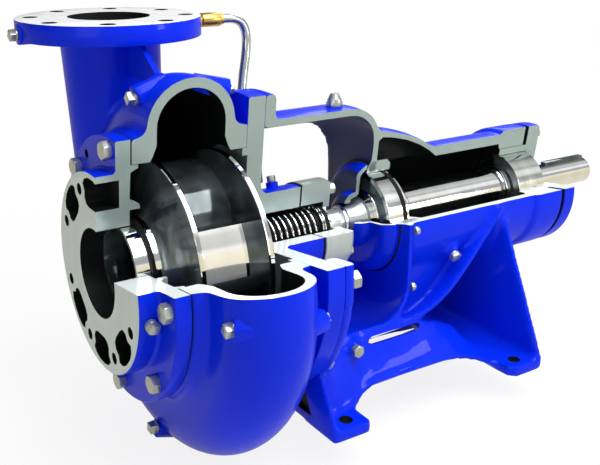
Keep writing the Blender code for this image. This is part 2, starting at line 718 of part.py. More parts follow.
def volute_casing():
    root = DISCHARGE_Z - FLANGE_T
    ob = scroll("volute_casing", CUT_TO, TONGUE_FROM, 0.0, False)
    parts = [scroll("scroll", TONGUE_FROM - OVERRUN, 360.0 + CUT_FROM, 360.0, False)]
    parts.append(neck("neck", ((NECK_LOW_Z, NECK_OUT - NECK_SLIM, CASE_MID, NECK_Y), (-NECK_LOW_Z, NECK_OUT - CORE_TAPER, CASE_MID, NECK_Y),
                               (root - NECK_FLARE - CORE_TAPER, NECK_OUT, NECK_X, NECK_Y), (root + CORE_TAPER, NECK_OUT + NECK_FLARE, NECK_X, NECK_Y))))
    parts.append(bar("flange", (NECK_X, NECK_Y, root), (NECK_X, NECK_Y, DISCHARGE_Z), FLANGE_R, 36))
    shoulder = CASE_X0 + CASE_WALL_X * 2
    rib = [(shoulder, root + CORE_TAPER), (shoulder + NECK_OUT, root + CORE_TAPER), (shoulder + NECK_OUT, JOINT_R), (RIB_Y, JOINT_R), (RIB_Y, RIB_Z)]
    parts.append(prism("rib", rib, CASE_MID - RIB_T / 2, CASE_MID + RIB_T / 2, 0))
    rear_x = CASE_X0 + CASE_X1 - BOSS_X
    for spots, face, out in ((FRONT_BOSS_SHARES, BOSS_X, -1), (REAR_BOSS_SHARES, rear_x, 1)):
        for angle, share in spots:
            r = SCROLL_START_R * share
            parts.append(bar("boss", at(CASE_MID, r, angle), at(face, r, angle), BOSS_R, 10))
            parts.append(bar("head", at(face - out * CORE_TAPER, r, angle), at(face + out * PLUG_HEAD_H, r, angle), PLUG_HEAD_R, 4))
    tap = NECK_X - FLANGE_R - FLANGE_TAP_OUT
    parts.append(bar("boss", (tap, NECK_Y, FLANGE_TAP_Z), (NECK_X - NECK_OUT, NECK_Y, FLANGE_TAP_Z), FLANGE_TAP_R, 12))
    boolean(ob, parts, "UNION")
    cuts = [scroll("core", CUT_TO - 2 * OVERRUN, TONGUE_FROM + CORE_TAPER, 0.0, True),
            scroll("core", TONGUE_FROM - 2 * OVERRUN, 360.0 + CUT_FROM + 2 * OVERRUN, 360.0, True),
            neck("bore", ((-2 * OVERRUN, SCROLL_IN - GAP, CASE_MID, NECK_Y + CORE_TAPER), (JOINT_R, NECK_IN, NECK_X, NECK_Y),
                          (DISCHARGE_Z + OVERRUN, BORE_R, NECK_X, NECK_Y))),
            turned("throat", [(CASE_X0 - OVERRUN, 0), (CASE_X0 - OVERRUN, THROAT_R), (CASE_X1 + OVERRUN, THROAT_R), (CASE_X1 + OVERRUN, 0)])]
    for k in range(FLANGE_HOLES):
        a = 2 * math.pi * (k + 1 / 2) / FLANGE_HOLES
        x, y = NECK_X + FLANGE_PITCH_R * math.cos(a), NECK_Y + FLANGE_PITCH_R * math.sin(a)
        cuts.append(bar("hole", (x, y, root - FLANGE_T), (x, y, DISCHARGE_Z + OVERRUN), FLANGE_HOLE_R, 10))
    hole_r = COVER_BOLT[2] + BOLT_HOLE_FIT
    cuts += holes(CASE_X0 - OVERRUN, CASE_X0 + BOLT_GRIP + GAP * OVERRUN, COVER_PITCH_R, bolt_angles(JOINT_BOLTS), hole_r)
    cuts.append(wedge(CASE_X0 - 2 * OVERRUN, CASE_X1 + 2 * OVERRUN))
    return boolean(ob, cuts)


def suction_cover():
    outline = [(0, BORE_R), (0, FLANGE_R), (COVER_RIM_X, FLANGE_R), (COVER_RIM_X, JOINT_R), (COVER_T, JOINT_R), (COVER_T, SPIGOT_R),
               (COVER_T + COVER_SPIGOT_L, SPIGOT_R), (COVER_T + COVER_SPIGOT_L, SPIGOT_R - EYE_WALL), (COVER_T + OVERRUN, SPIGOT_R - OVERRUN),
               (COVER_T, SPIGOT_R - 2 * EYE_WALL), (COVER_FACE_X, WEAR_RING_R1 + 2 * EYE_WALL), (COVER_FACE_X + OVERRUN, WEAR_RING_R1 + CORE_TAPER),
               (WEAR_RING_X, WEAR_RING_R1), (WEAR_RING_X, WEAR_RING_R0), (COVER_FACE_X, WEAR_RING_R0), (COVER_FACE_X, BORE_R)]
    ob = cut_turned("suction_cover", outline)
    cuts = []
    for centre in POCKET_ANGLES:
        half = [(POCKET_R0 + (POCKET_R1 - POCKET_R0) * a, POCKET_HALF_ANGLE * b) for a, b in POCKET_SHARES]
        corners = [at(0, r, centre - a) for r, a in half] + [at(0, r, centre + a) for r, a in reversed(half)]
        cuts.append(prism("pocket", [(c.y, c.z) for c in corners], -OVERRUN, POCKET_DEPTH, 0))
    taps = [a for a in bolt_angles(FLANGE_HOLES, 180.0 / FLANGE_HOLES)]
    cuts += holes(-OVERRUN, TAP_DEPTH, FLANGE_PITCH_R, taps, TAP_R)
    cuts += holes(COVER_RIM_X - OVERRUN, COVER_T + OVERRUN, COVER_PITCH_R, bolt_angles(JOINT_BOLTS), COVER_BOLT[2] + BOLT_HOLE_FIT)
    return boolean(ob, [joined("cuts", cuts)])


def impeller():
    outline = [(HUB_NOSE_X, 0), (HUB_NOSE_X, HUB_NOSE_R)] + along(HUB_NOSE_X, HUB_L, HUB_CURVE_SHARES, IMPELLER_R)
    outline += [(BACK_RIM_X, IMPELLER_R), (BACK_RIM_X + RIM_T, IMPELLER_R)]
    outline += along(HUB_NOSE_X, HUB_L, HUB_TAIL_SHARES, IMPELLER_R) + [(HUB_END_X, 0)]
    ob = turned("impeller", outline)
    depth, rise = RIM_X - EYE_X, IMPELLER_R - EYE_R
    shroud = [(EYE_X, BORE_R - RUN_GAP), (EYE_X, EYE_R)] + along(EYE_X, depth, SHROUD_OUT_SHARES, rise, EYE_R)
    shroud += [(RIM_X, IMPELLER_R), (RIM_X + RIM_T, IMPELLER_R)]
    shroud += along(EYE_X + RIM_T, depth, SHROUD_IN_SHARES, rise, BORE_R)
    parts = [turned("shroud", shroud)]
    for k in range(VANES):
        sides = [[], []]
        for i in range(VANE_POINTS):
            u = i / (VANE_POINTS - 1)
            r = VANE_START_R + (IMPELLER_R - VANE_EDGE - VANE_START_R) * u
            angle = VANE_PHASE + 360.0 * k / VANES - VANE_WRAP * u ** VANE_POWER
            half = VANE_HALF_T * math.sin(math.pi * ((1 + 5 * u) / 6) ** VANE_POWER) + VANE_EDGE
            sides[0].append((r, angle + math.degrees(half / r)))
            sides[1].append((r, angle - math.degrees(half / r)))
        ring = [at(0, r, a) for r, a in sides[0] + sides[1][::-1]]
        parts.append(prism("vane", [(p.y, p.z) for p in ring], RIM_X + VANE_EMBED, BACK_RIM_X + EYE_WALL, 0))
    boolean(ob, parts, "UNION")
    thread_r, bore_r = SHAFT_THREAD_R + RUN_GAP, SHAFT_WET_R + RUN_GAP
    bore = [(RIM_X, 0), (RIM_X, thread_r), (SHAFT_THREAD_X - RUN_GAP, thread_r), (SHAFT_THREAD_X - RUN_GAP, bore_r),
            (HUB_END_X + OVERRUN, bore_r), (HUB_END_X + OVERRUN, 0)]
    return boolean(ob, [turned("bore", bore)])


def back_plate():
    spigot_x = PLATE_X0 - PLATE_SPIGOT_L
    outline = [(spigot_x, PLATE_LIP_R), (spigot_x, SPIGOT_R), (PLATE_X0, SPIGOT_R), (PLATE_X0, PLATE_R), (PLATE_X1, PLATE_R),
               (PLATE_X1, BOX_R + BOX_ROOT), (PLATE_X1 + CORE_TAPER, BOX_R + EYE_WALL), (PLATE_X1 + BOX_ROOT_X, BOX_R), (BOX_X, BOX_R),
               (BOX_X, BOX_BORE), (BOX_THROAT_X + EYE_WALL, BOX_BORE), (BOX_THROAT_X, BOX_THROAT), (PLATE_LIP_X, BOX_THROAT),
               (PLATE_LIP_X, PLATE_LIP_R)]
    ob = cut_turned("back_plate", outline)
    nipple = bar("nipple", at(NIPPLE_X, BOX_R - NIPPLE_R, NIPPLE_ANGLE), at(NIPPLE_X, NIPPLE_TOP, NIPPLE_ANGLE), NIPPLE_R, 12)
    boolean(ob, [nipple], "UNION")
    cuts = holes(PLATE_X0 - OVERRUN, PLATE_X1 + OVERRUN, FRAME_PITCH_R, bolt_angles(JOINT_BOLTS), FRAME_BOLT[2] + BOLT_HOLE_FIT)
    cuts += holes(BOX_X - 4 * OVERRUN, BOX_X + OVERRUN, GLAND_PITCH_R, bolt_angles(GLAND_SCREWS), GLAND_BOLT[2] + BOLT_HOLE_FIT, 10)
    cuts.append(bar("port", at(NIPPLE_X, BOX_R - EYE_WALL, NIPPLE_ANGLE), at(NIPPLE_X, NIPPLE_TOP + OVERRUN, NIPPLE_ANGLE), NIPPLE_BORE, 10))
    return boolean(ob, cuts)


# Seal

def seal_gland():
    pocket_r = BOX_BORE + GAP
    outline = [(GLAND_X0, pocket_r), (GLAND_X0, GLAND_R), (GLAND_X1 - GLAND_CHAMFER, GLAND_R), (GLAND_X1, GLAND_R - GLAND_CHAMFER), (GLAND_X1, GLAND_BORE),
               (GLAND_X1 - GLAND_LIP, GLAND_BORE), (GLAND_X1 - GLAND_LIP, pocket_r)]
    ob = cut_turned("seal_gland", outline)
    return boolean(ob, holes(GLAND_X0 - OVERRUN, GLAND_X1 + OVERRUN, GLAND_PITCH_R, bolt_angles(GLAND_SCREWS), GLAND_BOLT[2] + BOLT_HOLE_FIT, 10))


def seal_parts():
    wet = SHAFT_WET_R + RUN_GAP
    over = wet + SLEEVE_WALL + RUN_GAP
    turned("seal_sleeve", [(SLEEVE_X0, wet), (SLEEVE_X0, wet + SLEEVE_WALL), (SLEEVE_X1, wet + SLEEVE_WALL), (SLEEVE_X1, wet)])
    root, end = BELLOWS_X0 + BELLOWS_FLANGE_T, BELLOWS_X0 + BELLOWS_L
    turned("seal_bellows", [(BELLOWS_X0, over), (BELLOWS_X0, BELLOWS_FLANGE_R), (root, BELLOWS_FLANGE_R), (root, BELLOWS_R), (end, BELLOWS_R), (end, over)])
    x = end + RUN_GAP
    for k in range(2):
        turned("seal_ring_%d" % (k + 1), [(x, over), (x, SEAL_RING_R), (x + SEAL_RING_T, SEAL_RING_R), (x + SEAL_RING_T, over)])
        x += SEAL_RING_PITCH
    x += RUN_GAP - (SEAL_RING_PITCH - SEAL_RING_T)
    turned("seal_face", [(x, over), (x, SEAL_FACE_R), (x + SEAL_FACE_T, SEAL_FACE_R), (x + SEAL_FACE_T, over)])
    x += SEAL_FACE_T + GAP
    cut_turned("seal_seat", [(x, SEAL_SEAT_R0), (x, BOX_BORE), (GLAND_X1 - GLAND_LIP - GAP, BOX_BORE), (GLAND_X1 - GLAND_LIP - GAP, SEAL_SEAT_R0)])
    rings = []
    count = round(SPRING_TURNS * SPRING_POINTS)
    for k in range(count + 1):
        x, angle = SPRING_X0 + (SPRING_X1 - SPRING_X0) * k / count, 360.0 * SPRING_TURNS * k / count
        turn = [2 * math.pi * j / SPRING_SIDES for j in range(SPRING_SIDES)]
        rings.append([at(x + SPRING_WIRE_R * math.sin(t), SPRING_R + SPRING_WIRE_R * math.cos(t), angle) for t in turn])
    loft("seal_spring", rings)


# Shaft

def shaft():
    collar_x = SHAFT_NECK_X + EYE_WALL
    shoulder_x = SEAT_STOP_X - SHAFT_EDGE
    mid_x = shoulder_x + SHAFT_SHOULDER_L
    stop_x = REAR_X0 - RUN_GAP - SHAFT_EDGE
    outline = [(HUB_NOSE_X, 0), (HUB_NOSE_X, SHAFT_THREAD_R), (SHAFT_THREAD_X, SHAFT_THREAD_R), (SHAFT_THREAD_X, SHAFT_WET_R), (SLEEVE_X1, SHAFT_WET_R),
               (SLEEVE_X1 + SHAFT_EDGE, SHAFT_NECK_R), (SHAFT_NECK_X, SHAFT_NECK_R), (collar_x, SHAFT_COLLAR_R), (collar_x + SHAFT_COLLAR_L, SHAFT_COLLAR_R),
               (collar_x + SHAFT_COLLAR_L + SHAFT_EDGE, FRONT_BORE), (shoulder_x - SHAFT_EDGE, FRONT_BORE), (shoulder_x, SHAFT_SHOULDER_R),
               (mid_x - SHAFT_EDGE, SHAFT_SHOULDER_R), (mid_x, SHAFT_MID_R), (stop_x - REAR_SHOULDER_L, SHAFT_MID_R),
               (stop_x - REAR_SHOULDER_L + SHAFT_EDGE, REAR_SHOULDER_R), (stop_x, REAR_SHOULDER_R), (stop_x + SHAFT_EDGE, REAR_BORE),
               (REAR_X1 + SHAFT_EDGE, REAR_BORE), (REAR_X1 + 2 * SHAFT_EDGE, SHAFT_END_R), (CART_X1 + SHAFT_END_L - END_CHAMFER, SHAFT_END_R),
               (CART_X1 + SHAFT_END_L, SHAFT_END_R - END_CHAMFER), (CART_X1 + SHAFT_END_L, 0)]
    ob = turned("shaft", outline)
    end = CART_X1 + SHAFT_END_L - KEY_INSET
    half = KEY_W / 2
    slot = block("slot", (end - KEY_L - KEYWAY_RUNOUT, -half - GAP / 4, SHAFT_END_R - KEYWAY_SINK), (end + GAP, half + GAP / 4, SHAFT_END_R + OVERRUN))
    boolean(ob, [slot])
    block("shaft_key", (end - KEY_L, -half + KEY_SIDE_FIT, SHAFT_END_R - KEY_SINK), (end, half - KEY_SIDE_FIT, SHAFT_END_R + KEY_PROUD))
    groove = SHAFT_NECK_R + RUN_GAP
    turned("slinger", [(SLINGER_X, groove), (SLINGER_X, SLINGER_R), (SLINGER_X + SLINGER_L / 2, SLINGER_R + SHAFT_EDGE), (SLINGER_X + SLINGER_L, SLINGER_R),
                       (SLINGER_X + SLINGER_L, groove)])


# Bearings

def bearing(kind, x0, x1, bore, out_r, pitch, ball_r):
    """Both races, their tracks a clearance away from the balls between them."""
    depth, land = out_r - bore, (x1 - x0) * RACE_LAND_SHARE
    outer, inner = out_r - depth * RACE_WALL_SHARE, bore + depth * RACE_WALL_SHARE
    top, low = pitch + ball_r + RUN_GAP, pitch - ball_r - GAP
    turned(kind + "_bearing_outer", [(x0, outer), (x0, out_r), (x1, out_r), (x1, outer), (x1 - land, top), (x0 + land, top)])
    turned(kind + "_bearing_inner", [(x0, bore + RUN_GAP), (x0, inner), (x0 + land, low), (x1 - land, low), (x1, inner), (x1, bore + RUN_GAP)])


def ball_set(name, rows, pitch, radius, count):
    """Balls held in their ring-shaped cage, as one body."""
    bm = bmesh.new()
    for x in rows:
        for k in range(count):
            place = Matrix.Translation(at(x, pitch, 360.0 * k / count + BALL_PHASE)) @ Matrix.Rotation(math.pi / 2, 4, "Y")
            bmesh.ops.create_uvsphere(bm, u_segments=6, v_segments=4, radius=radius, matrix=place)
    balls = solid("balls", bm)
    a, b = rows[0] - radius * 2 / 3, rows[-1] + radius * 2 / 3
    ring = turned(name, [(a, pitch - CAGE_HALF_T), (a, pitch + CAGE_HALF_T), (b, pitch + CAGE_HALF_T), (b, pitch - CAGE_HALF_T)])
    return boolean(ring, [balls], "UNION")


# Bearing frame

def across(points):
    """Mirrors (x, half width) points into a closed plan."""
    return list(points) + [(x, -w) for x, w in reversed(points)]


def both(points):
    """Mirrors half of a front view into a closed outline."""
    return list(points) + [(-y, z) for y, z in reversed(points)]


def scoop_z(share, y):
    """Underside of the scoop: straight side edges with a sag between them."""
    for (s0, z0, d0), (s1, z1, d1) in zip(SCOOP_SHARES, SCOOP_SHARES[1:]):
        if share <= s1:
            break
    t = (share - s0) / (s1 - s0)
    sag = d0 + (d1 - d0) * t
    return -AXIS_H * (z0 + (z1 - z0) * t + sag * (1 - (y / YOKE_HALF_W) ** 2))


def sump_block(name, shares, half, lift):
    """Block that reaches from inside the barrel down to the scoop."""
    ys = [half * (2 * k / SUMP_COLUMNS - 1) for k in range(SUMP_COLUMNS + 1)]
    rings = []
    for s in shares:
        x = RING_X0 + PEDESTAL_L * s
        low = [Vector((x, y, scoop_z(s, y) + lift)) for y in ys]
        rings.append([Vector((x, ys[0], SUMP_TOP_Z))] + low + [Vector((x, ys[-1], SUMP_TOP_Z))])
    return loft(name, rings)


def hood_body(name, shares, radius):
    stations = [(HOOD_X0 + HOOD_L * a, HOOD_TOP * b) for a, b in shares]
    return loft(name, [ring_points((x, 0, top - radius), radius, 16, (0, 1, 0), (0, 0, 1)) for x, top in stations])


def yoke():
    inner = YOKE_R - YOKE_WALL
    x0 = BULK_X1 - YOKE_BEND_L - BULK_T
    out = [(x0 + (BULK_X1 - x0) * a, YOKE_R - YOKE_BEND_H * b) for a, b in YOKE_BEND_SHARES]
    back = [(x0 + (BULK_X0 - x0) * a, inner - (YOKE_BEND_H + YOKE_WALL / 2) * b) for a, b in reversed(YOKE_BEND_SHARES)]
    outline = [(RING_X0 + CORE_TAPER, YOKE_R), (x0, YOKE_R)] + out + [(BULK_X1, BULK_R0), (BULK_X0, BULK_R0)] + back
    outline += [(x0, inner), (RING_X0 + CORE_TAPER, inner)]
    ob = turned("bearing_frame", outline)
    plan = [(RING_X0 - OVERRUN + YOKE_RAMP_L * a, YOKE_HALF_W * b) for a, b in ARM_FLARE_SHARES] + [(BULK_X1 + OVERRUN, YOKE_HALF_W)]
    return boolean(ob, [prism("plan", across(plan), -AXIS_H, AXIS_H, 2)], "INTERSECT")


def pedestal():
    """Front and rear plates, the skirt between them and the four feet."""
    low, ankle, edge = FOOT_INSET - AXIS_H, ANKLE_H - AXIS_H, FOOT_HALF_W - GAP
    front_x = RING_X0 + GAP
    front = prism("front", both([(edge, low), (edge, ankle), (FRONT_WAIST, FRONT_WAIST_Z)]), front_x, front_x + WALL_T, 0)
    holes_in_front = [turned("disc", [(RING_X0 - OVERRUN, 0), (RING_X0 - OVERRUN, PLATE_HOLE_R), (RING_X1 + OVERRUN, PLATE_HOLE_R), (RING_X1 + OVERRUN, 0)])]
    for side in (-1, 1):
        window = [(side * FOOT_HALF_W * a, WINDOW_Z * b) for a, b in WINDOW_SHARES]
        window += [(side * WINDOW_R * math.cos(math.radians(a)), -WINDOW_R * math.sin(math.radians(a))) for a in WINDOW_ANGLES]
        window.append((side * FOOT_HALF_W * WINDOW_INNER_SHARE, WINDOW_Z))
        holes_in_front.append(prism("window", window, RING_X0 - OVERRUN, RING_X1 + OVERRUN, 0))
    boolean(front, holes_in_front)
    rear = prism("rear", both([(edge, low), (edge, ankle), (REAR_WAIST, 0)]), PEDESTAL_X1 - WALL_T, PEDESTAL_X1, 0)
    rows = []
    for s, yo, zo, yi, zi, zc in SKIRT_SHARES:
        half = [(yi * t, zi + (zc - zi) * (1 - t * t)) for t in SKIRT_INNER_SHARES]
        half += [(yi + (yo - yi) * t, zi + (zo - zi) * (1 - (1 - t) ** SKIRT_POWER)) for t in SKIRT_OUTER_SHARES]
        line = [(-y, z) for y, z in reversed(half[1:])] + half
        rows.append([(RING_X0 + PEDESTAL_L * s, FOOT_HALF_W * y, -AXIS_H * z) for y, z in line])
    parts = [front, rear, plate("skirt", rows, lambda i: Vector((0, 0, -WALL_T)))]
    for side in (-1, 1):
        x0, x1 = RING_X0 + 2 * GAP, RING_X0 + PAD_L
        span = FOOT_HALF_W
        toe = [(x0, PAD_INNER)] + [(x0 + PAD_L * a, span * b) for a, b in PAD_ROUND_SHARES] + [(x1, span - OVERRUN), (x1 - OVERRUN, span), (x0, span)]
        x0, x1 = PEDESTAL_X1 - PAD_L, PEDESTAL_X1 - GAP
        heel = [(x0, PAD_INNER), (x0, span - PAD_CORNER), (x0 + PAD_CORNER, span), (x1, span), (x1, PAD_INNER)]
        for outline in (toe, heel):
            parts.append(prism("pad", [(x, side * y) for x, y in outline], -AXIS_H, PAD_T - AXIS_H, 2))
    return parts


def scoop():
    rows, normals = [], []
    count = len(SCOOP_SHARES)
    for i, (s, z, _) in enumerate(SCOOP_SHARES):
        before, after = SCOOP_SHARES[max(0, i - 1)], SCOOP_SHARES[min(count - 1, i + 1)]
        run, rise = PEDESTAL_L * (after[0] - before[0]), AXIS_H * (before[1] - after[1])
        normals.append(Vector((-rise, 0, run)).normalized() * SCOOP_T)
        ys = [YOKE_HALF_W * (2 * k / SCOOP_COLUMNS - 1) for k in range(SCOOP_COLUMNS + 1)]
        rows.append([(RING_X0 + PEDESTAL_L * s, y, scoop_z(s, y)) for y in ys])
    return plate("scoop", rows, lambda i: normals[i])


def bearing_frame():
    ob = yoke()
    ring = turned("ring", [(RING_X0, YOKE_R - YOKE_WALL), (RING_X0, PLATE_R), (RING_X1, PLATE_R), (RING_X1, YOKE_R - YOKE_WALL)])
    boss_x = BARREL_X1 - REAR_BOSS_L
    barrel = turned("barrel", [(FRONT_BOSS_X, 0), (FRONT_BOSS_X, FRONT_BOSS_R), (BULK_X0 - GAP, FRONT_BOSS_R + EYE_WALL), (BULK_X0 + CORE_TAPER, BARREL_R),
                               (boss_x - BOSS_TAPER_L, BARREL_R), (boss_x, REAR_BOSS_R), (BARREL_X1, REAR_BOSS_R), (BARREL_X1, 0)])
    parts = [ring, barrel, hood_body("hood", HOOD_SHARES, HOOD_R), scoop(), sump_block("sump", SUMP_SHARES, SUMP_HALF_W, SUMP_FLOOR)] + pedestal()
    parts.append(bar("boss", at(DRAIN_X, DRAIN_R - WALL_T * 2, DRAIN_ANGLE), at(DRAIN_X, DRAIN_R, DRAIN_ANGLE), DRAIN_BOSS_R, 10))
    parts.append(bar("boss", (LUG_X, LUG_Y + LUG_ROOT, LUG_Z), (LUG_X, LUG_Y, LUG_Z), LUG_R, 12))
    for angle in BULK_BOLT_ANGLES:
        parts.append(bar("head", at(BULK_X1 - CORE_TAPER, BULK_BOLT_R, angle), at(BULK_X1 + CART_HEAD_H, BULK_BOLT_R, angle), CART_HEAD_R, 6))
    boolean(ob, parts, "UNION")
    seat_x, core_x = SEAT_STOP_X + SEAT_STOP_L, BARREL_X1 - CART_BORE_L
    cuts = [turned("bore", [(FRONT_BOSS_X - 2 * OVERRUN, 0), (FRONT_BOSS_X - 2 * OVERRUN, FRONT_SEAT_R), (SEAT_STOP_X, FRONT_SEAT_R), (SEAT_STOP_X, SEAT_STOP_R),
                            (seat_x, SEAT_STOP_R), (seat_x + CORE_TAPER, BARREL_IN), (core_x - CORE_TAPER, BARREL_IN), (core_x, CART_BORE),
                            (BARREL_X1 + OVERRUN, CART_BORE), (BARREL_X1 + OVERRUN, 0)]),
            hood_body("core", HOOD_CORE_SHARES, HOOD_IN), sump_block("core", SUMP_CORE_SHARES, SUMP_CORE_HALF_W, SUMP_CORE_FLOOR)]
    small = []
    for x in (RING_X0 + FOOT_HOLE_INSET, PEDESTAL_X1 - FOOT_HOLE_INSET - EYE_WALL):
        for side in (-1, 1):
            small.append(bar("hole", (x, side * FOOT_HOLE_Y, -AXIS_H - OVERRUN), (x, side * FOOT_HOLE_Y, SKIRT_CLEAR_Z), FOOT_HOLE_R, 12))
    for side in (-1, 1):
        h = SLOT_H / 2
        slot = [(SLOT_X0, SLOT_Z), (SLOT_X0 + WALL_T, SLOT_Z + h), (SLOT_X0 + SLOT_L - WALL_T, SLOT_Z + h), (SLOT_X0 + SLOT_L, SLOT_Z),
                (SLOT_X0 + SLOT_L - WALL_T, SLOT_Z - h), (SLOT_X0 + WALL_T, SLOT_Z - h)]
        small.append(prism("slot", slot, side * SLOT_Y0, side * SLOT_Y1, 1))
    small += holes(RING_X0 - OVERRUN, RING_X1 + OVERRUN, FRAME_PITCH_R, bolt_angles(JOINT_BOLTS), FRAME_BOLT[2] + BOLT_HOLE_FIT)
    drain_r, lug_r = DRAIN_SHANK_R + BOLT_HOLE_FIT, LUG_SHANK_R + BOLT_HOLE_FIT
    small.append(bar("hole", at(DRAIN_X, DRAIN_R - BOLT_HOLE_FIT - OVERRUN, DRAIN_ANGLE), at(DRAIN_X, DRAIN_R + OVERRUN, DRAIN_ANGLE), drain_r, 10))
    small.append(bar("hole", (LUG_X, LUG_Y + TAPPED + BOLT_HOLE_FIT, LUG_Z), (LUG_X, LUG_Y - OVERRUN, LUG_Z), lug_r, 10))
    top = YOKE_R - YOKE_WALL
    small.append(bar("hole", (BREATHER_X, 0, top - OVERRUN), (BREATHER_X, 0, YOKE_R + OVERRUN), BREATHER_STEM_R + BOLT_HOLE_FIT, 10))
    return boolean(ob, cuts + [joined("holes", small), wedge(RING_X0 - 2 * OVERRUN, BARREL_X1 + 2 * OVERRUN)])


def front_bearing_cover():
    length, depth = BULK_X0 - BULK_T + BOLT_HOLE_FIT - CUP_X0, CUP_RIM_R - CUP_BORE
    outline = [(CUP_X0, CUP_BORE)] + along(CUP_X0, length, CUP_OUT_SHARES, depth, CUP_BORE) + along(CUP_X0, length, CUP_IN_SHARES, depth, CUP_BORE)
    return cut_turned("front_bearing_cover", outline)


def rear_cartridge():
    lip_x = CART_X1 - CART_LIP_T
    outline = [(CART_SPIGOT_X, REAR_SEAT_R), (CART_SPIGOT_X, CART_BORE - CART_FIT), (CART_FLANGE_X, CART_BORE - CART_FIT), (CART_FLANGE_X, CART_R),
               (CART_X1, CART_R), (CART_X1, CUP_BORE), (lip_x, CUP_BORE), (lip_x, SEAL_POCKET_R), (lip_x - EYE_WALL / 2, SEAL_POCKET_R + OVERRUN),
               (REAR_X1 + 2 * SHAFT_EDGE, SEAL_POCKET_R + 2 * EYE_WALL), (REAR_X1 + 2 * SHAFT_EDGE, REAR_SEAT_R)]
    ob = cut_turned("rear_cartridge", outline)
    heads = [bar("head", at(CART_X1 - EYE_WALL, CART_BOLT_PITCH_R, a), at(CART_X1 + CART_HEAD_H, CART_BOLT_PITCH_R, a), CART_HEAD_R, 6)
             for a in bolt_angles(CART_BOLTS)]
    return boolean(ob, [joined("heads", heads)], "UNION")


# Small fittings

def smooth_route(points, cuts):
    """Points on a smooth curve through the given ones."""
    points = [Vector(p) for p in points]
    dense = []
    for i in range(len(points) - 1):
        p0, p1, p2, p3 = points[max(0, i - 1)], points[i], points[i + 1], points[min(len(points) - 1, i + 2)]
        for k in range(cuts):
            t = k / cuts
            dense.append(p1 + ((p2 - p0) * t + (2 * p0 - 5 * p1 + 4 * p2 - p3) * t ** 2 + (3 * p1 - p0 - 3 * p2 + p3) * t ** 3) / 2)
    return dense + [points[-1]]


def flush_tube():
    curve = bpy.data.curves.new("flush_tube", "CURVE")
    curve.dimensions = "3D"
    curve.bevel_depth = TUBE_R * MM
    curve.bevel_resolution = TUBE_SIDES_LEVEL
    curve.use_fill_caps = True
    route = smooth_route(TUBE_ROUTE, TUBE_CUTS)
    spline = curve.splines.new("POLY")
    spline.points.add(len(route) - 1)
    for point, place in zip(spline.points, route):
        point.co = (*(place * MM), 1.0)
    ob = bpy.data.objects.new("flush_tube", curve)
    bpy.context.scene.collection.objects.link(ob)
    return ob


def flush_ends():
    y, z = NECK_Y, FITTING_Z
    stem = bar("flush_fitting", (NECK_X + FLANGE_R + GAP, y, z), (FITTING_HEX_X + BOLT_HOLE_FIT, y, z), FITTING_STEM_R, 12)
    hexagon = bar("hexagon", (FITTING_HEX_X, y, z), (FITTING_HEX_X + FITTING_HEX_L, y, z), FITTING_HEX_R, 6)
    cap = bar("cap", (FITTING_HEX_X + FITTING_HEX_L - SHAFT_EDGE, y, z), (TUBE_ROUTE[0][0] - GAP, y, z), FITTING_CAP_R, 12)
    boolean(stem, [hexagon, cap], "UNION")
    bar("flush_elbow", at(NIPPLE_X, NIPPLE_TOP + BOLT_HOLE_FIT, NIPPLE_ANGLE), at(NIPPLE_X, NIPPLE_TOP + BOLT_HOLE_FIT + ELBOW_L, NIPPLE_ANGLE), ELBOW_R, 6)


def square_plug(name, seat, out, size):
    """Round collar on the seat with a square head on it."""
    width, collar, head = size
    seat, out = Vector(seat), Vector(out).normalized()
    a = bar(name, seat, seat + out * collar, width * PLUG_COLLAR_SHARE, 12)
    b = bar("head", seat + out * collar / 2, seat + out * (collar + head), width / math.sqrt(2), 4)
    return boolean(a, [b], "UNION")


def screw_plug(name, seat, out, reach, shank_r, head_r, head_h):
    """Hexagon head on the seat with a shank that reaches back."""
    seat, out = Vector(seat), Vector(out).normalized()
    a = bar(name, seat - out * reach, seat + out * head_h / 2, shank_r, 8)
    b = bar("head", seat + out * GAP, seat + out * head_h, head_r, 6)
    return boolean(a, [b], "UNION")


def plugs():
    tap = NECK_X - FLANGE_R - FLANGE_TAP_OUT - GAP
    square_plug("flange_plug", (tap, NECK_Y, FLANGE_TAP_Z), (-1, 0, 0), FLANGE_PLUG)
    square_plug("gauge_plug", at(GAUGE_X, FLANGE_R + GAP, GAUGE_ANGLE), at(0, 1, GAUGE_ANGLE), GAUGE_PLUG)
    screw_plug("drain_plug", at(DRAIN_X, DRAIN_R, DRAIN_ANGLE), at(0, 1, DRAIN_ANGLE), OVERRUN, DRAIN_SHANK_R, DRAIN_HEAD_R, PLUG_HEAD)
    screw_plug("side_plug", (LUG_X, LUG_Y, LUG_Z), (0, -1, 0), TAPPED, LUG_SHANK_R, LUG_HEAD_R, LUG_HEAD_H)
    top = YOKE_R + GAP
    cap = bar("breather_cap", (BREATHER_X, 0, YOKE_R - YOKE_WALL), (BREATHER_X, 0, top + GAP), BREATHER_STEM_R, 10)
    rim = bar("rim", (BREATHER_X, 0, top), (BREATHER_X, 0, top + BREATHER_RIM), BREATHER_R, 12)
    dome = bar("dome", (BREATHER_X, 0, top + BREATHER_RIM - GAP), (BREATHER_X, 0, top + BREATHER_H), BREATHER_R, 12, BREATHER_TOP_R)
    boolean(cap, [rim, dome], "UNION")


